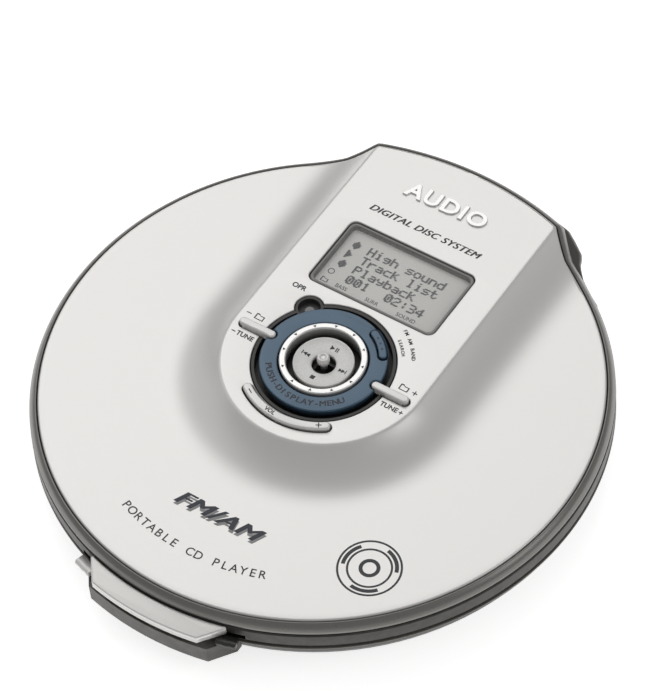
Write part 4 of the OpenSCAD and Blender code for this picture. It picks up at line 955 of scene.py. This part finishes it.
bezel_ink = Print("bezel_print", ink_blue, "lid", "bezel_blue")
bezel_ink.arc_word("PUSH-DISPLAY-MENU", 2.2, *DIAL, 12.75, 270, 1.46, BEZEL_Z, inward=True, heavy=0.07)
bezel_ink.make()
band_ink = Print("band_print", ink_blue, "band_key", "bezel_blue")
for a in (-7, 0, 7):
    band_ink.shape(arc(*polar(DIAL, 13.75, BAND["mid"] + a), 0.28, 0, 340, 14), band_hi[2])
band_ink.make()
vol_ink = Print("volume_print", ink_dark, "volume", "dish_silver")
vol_ink.word("VOL", 1.5, -2.4, DIAL[1] - 18.55, rocker_hi[2], turn=-7, bold=0.04)
vol_ink.sign(-9.4, DIAL[1] - 16.2, 1.4, rocker_hi[2], turn=-30)
vol_ink.sign(9.4, DIAL[1] - 16.2, 1.4, rocker_hi[2], turn=30, plus=True)
vol_ink.make()


def dish_height(x, y):
    """Height just above the dish's face at (x, y), from its profile."""
    rows = np.array(dish_profile[2:9])
    return np.interp(np.hypot(x - DIAL[0], y - DIAL[1]), rows[:, 0], rows[:, 1]) + 0.02


dish_ink = Print("dish_print", ink_dark, "lid", "dish_silver")


def triangle(x, y, w, sign):
    """A small solid arrow head that points along X."""
    back_x, tip_x = x - sign * w / 2, x + sign * w / 2
    dish_ink.shape([(back_x, y - w * 0.55), (tip_x, y), (back_x, y + w * 0.55)][::sign], dish_height)


def block(x, y, w, h):
    """A small solid rectangle."""
    corners = np.array([(-w, -h), (w, -h), (w, h), (-w, h)]) / 2
    dish_ink.shape(corners + [x, y], dish_height)


dy = DIAL[1]
triangle(-0.5, dy + 4.7, 1.1, 1)
block(0.45, dy + 4.7, 0.26, 1.1)
block(0.9, dy + 4.7, 0.26, 1.1)
for sign in (-1, 1):
    triangle(sign * 4.5, dy + 0.2, 0.95, sign)
    triangle(sign * 5.3, dy + 0.2, 0.95, sign)
    block(sign * 5.95, dy + 0.2, 0.22, 1.05)
block(0.0, dy - 4.7, 1.1, 1.1)
dish_ink.make()

window_ink = Print("display_words", dot_ink, "lid", "display")
for words, x in (("BASS", -9.5), ("SURR", -1.0), ("SOUND", 8.5)):
    window_ink.word(words, 1.5, x, EDGE_LINE_Y, panel_top - 0.02, bold=0.02)
window_ink.outline(folder * 0.8 + [-14.2, EDGE_LINE_Y], folder * 0.56 + [-14.2, EDGE_LINE_Y], panel_top + 0.005)
window_ink.ring(-14.2, EDGE_LINE_Y + 3.0, 0.75, 0.25, panel_top + 0.005)
window_ink.make()

mark = Print("notch_marks", ink_dark, "jog", "jog_silver")
for k in range(12):
    tip, foot = polar(DIAL, 9.1, 15 + 30 * k), polar(DIAL, 9.8, 15 + 30 * k)
    wing = (tip - foot)[::-1] * [1, -1] * (0.42 / 0.7)
    mark.shape([tip, foot - wing, foot + wing], JOG_Z)
mark.make()

# ---- remaining parts
# Everything inside or below keeps its CAD shape and gets the finish of its own material, except the stick's steel
# gimbal: it gets the black well finish, which is painted shade in the hole round the stick.

# The steel stick_gimbal is drawn black here as painted shade in the hole round the stick; the other three parts are
# black plastic.
dress(well_black_and_hole_shade, "dial_well", "jog_carrier", "stick_base", "stick_gimbal")
dress(finish("lamp_lens", (0.16, 0.16, 0.17), rough=0.12, grain=2000.0, bump=0.01, vary=0.05, coat=0.6,
             coat_rough=0.05), "led_lens")
dress(finish("inner_plastic", (0.03, 0.029, 0.028), rough=0.5, grain=1200.0, bump=0.15, vary=0.1),
      "mech_cover", "battery_tray", "sled", "lens_holder", "lid_switch", "headphone_jack", "power_jack")
dress(finish("bright_steel", (0.56, 0.55, 0.53), metallic=1.0, rough=0.28, grain=1500.0, bump=0.04, vary=0.06),
      "hinge_pins", "hinge_springs", "guide_rods", "spindle_shaft", "spindle_motor", "sled_motor",
      "case_screws", "chuck_balls", "mech_chassis")
dress(finish("turned_brass", (0.60, 0.47, 0.22), metallic=1.0, rough=0.3, grain=1500.0, vary=0.08), "lead_screw")
dress(finish("contact_plate", (0.68, 0.66, 0.58), metallic=1.0, rough=0.25, grain=1500.0, vary=0.06),
      "battery_contacts", "battery_springs")
dress(finish("turntable_rubber", (0.028, 0.028, 0.028), rough=0.62, grain=1400.0, bump=0.3, vary=0.12), "turntable")
dress(finish("hub_plastic", (0.62, 0.61, 0.58), rough=0.35, grain=1200.0, bump=0.06, vary=0.04), "hub")
dress(finish("foot_rubber", (0.02, 0.02, 0.02), rough=0.75, grain=1600.0, bump=0.35, vary=0.15), "feet", "dampers")
dress(finish("board_green", (0.02, 0.11, 0.05), rough=0.3, grain=700.0, bump=0.08, cloud=240.0, vary=0.25,
             coat=0.3), "control_board", "main_board", "jack_board")
dress(finish("chip_resin", (0.02, 0.02, 0.022), rough=0.55, grain=1800.0, bump=0.2, vary=0.12),
      "board_chips", "key_switches")

# ---- floor, light and camera
# A plain white floor that glows a little, three soft lamps (one behind, a wide one to the left, a weaker one to
# the right), an even white surround, and a long lens from the front right and above.

floor_mesh = bpy.data.meshes.new("floor")
floor_mesh.from_pydata([(-3, -3, 0), (3, -3, 0), (3, 3, 0), (-3, 3, 0)], [], [(0, 1, 2, 3)])
floor = bpy.data.objects.new("floor", floor_mesh)
bpy.context.collection.objects.link(floor)
floor_paper = finish("floor_paper", (0.93, 0.925, 0.92), rough=0.8, grain=400.0, bump=0.0, vary=0.004)
floor_shader = floor_paper.node_tree.nodes["Principled BSDF"]
floor_shader.inputs["Emission Color"].default_value = (1, 1, 1, 1)
floor_shader.inputs["Emission Strength"].default_value = 0.72
floor_mesh.materials.append(floor_paper)


def soft_lamp(name, place, size, power):
    """A square area lamp at place, turned towards the middle of the part."""
    lamp = bpy.data.lights.new(name, "AREA")
    lamp.shape, lamp.size, lamp.energy = "SQUARE", size, power
    made = bpy.data.objects.new(name, lamp)
    bpy.context.collection.objects.link(made)
    made.location = place
    made.rotation_euler = (Vector(place) - Vector((0, 0, 0.02))).to_track_quat("Z", "Y").to_euler()


soft_lamp("back_lamp", (-0.45, 0.58, 0.95), 0.9, 3.1)
soft_lamp("key_lamp", (-1.0, 0.1, 0.9), 1.1, 1.3)
soft_lamp("fill_lamp", (0.9, 0.2, 0.7), 0.5, 1.1)

world = bpy.data.worlds.new("world")
bpy.context.scene.world = world
world.use_nodes = True
surround = world.node_tree.nodes["Background"]
surround.inputs["Color"].default_value = (1, 1, 1, 1)
surround.inputs["Strength"].default_value = 0.33

AZ, EL, ROLL = math.radians(37.36), math.radians(52.28), math.radians(-5.04)
back = Vector((math.sin(AZ) * math.cos(EL), -math.cos(AZ) * math.cos(EL), math.sin(EL)))
right = Vector((math.cos(AZ), math.sin(AZ), 0))
up = back.cross(right)
lens_right = right * math.cos(ROLL) + up * math.sin(ROLL)
lens_up = up * math.cos(ROLL) - right * math.sin(ROLL)
camera_data = bpy.data.cameras.new("camera")
camera_data.lens = 165.2
camera_data.clip_end = 20
camera = bpy.data.objects.new("camera", camera_data)
bpy.context.collection.objects.link(camera)
place = Vector((-0.00739, 0.01299, 0.010)) + back * 0.7595
turn = Matrix((lens_right, lens_up, back)).transposed().to_4x4()
camera.matrix_world = Matrix.Translation(place) @ turn
bpy.context.scene.camera = camera
bpy.context.scene.view_settings.view_transform = "Standard"
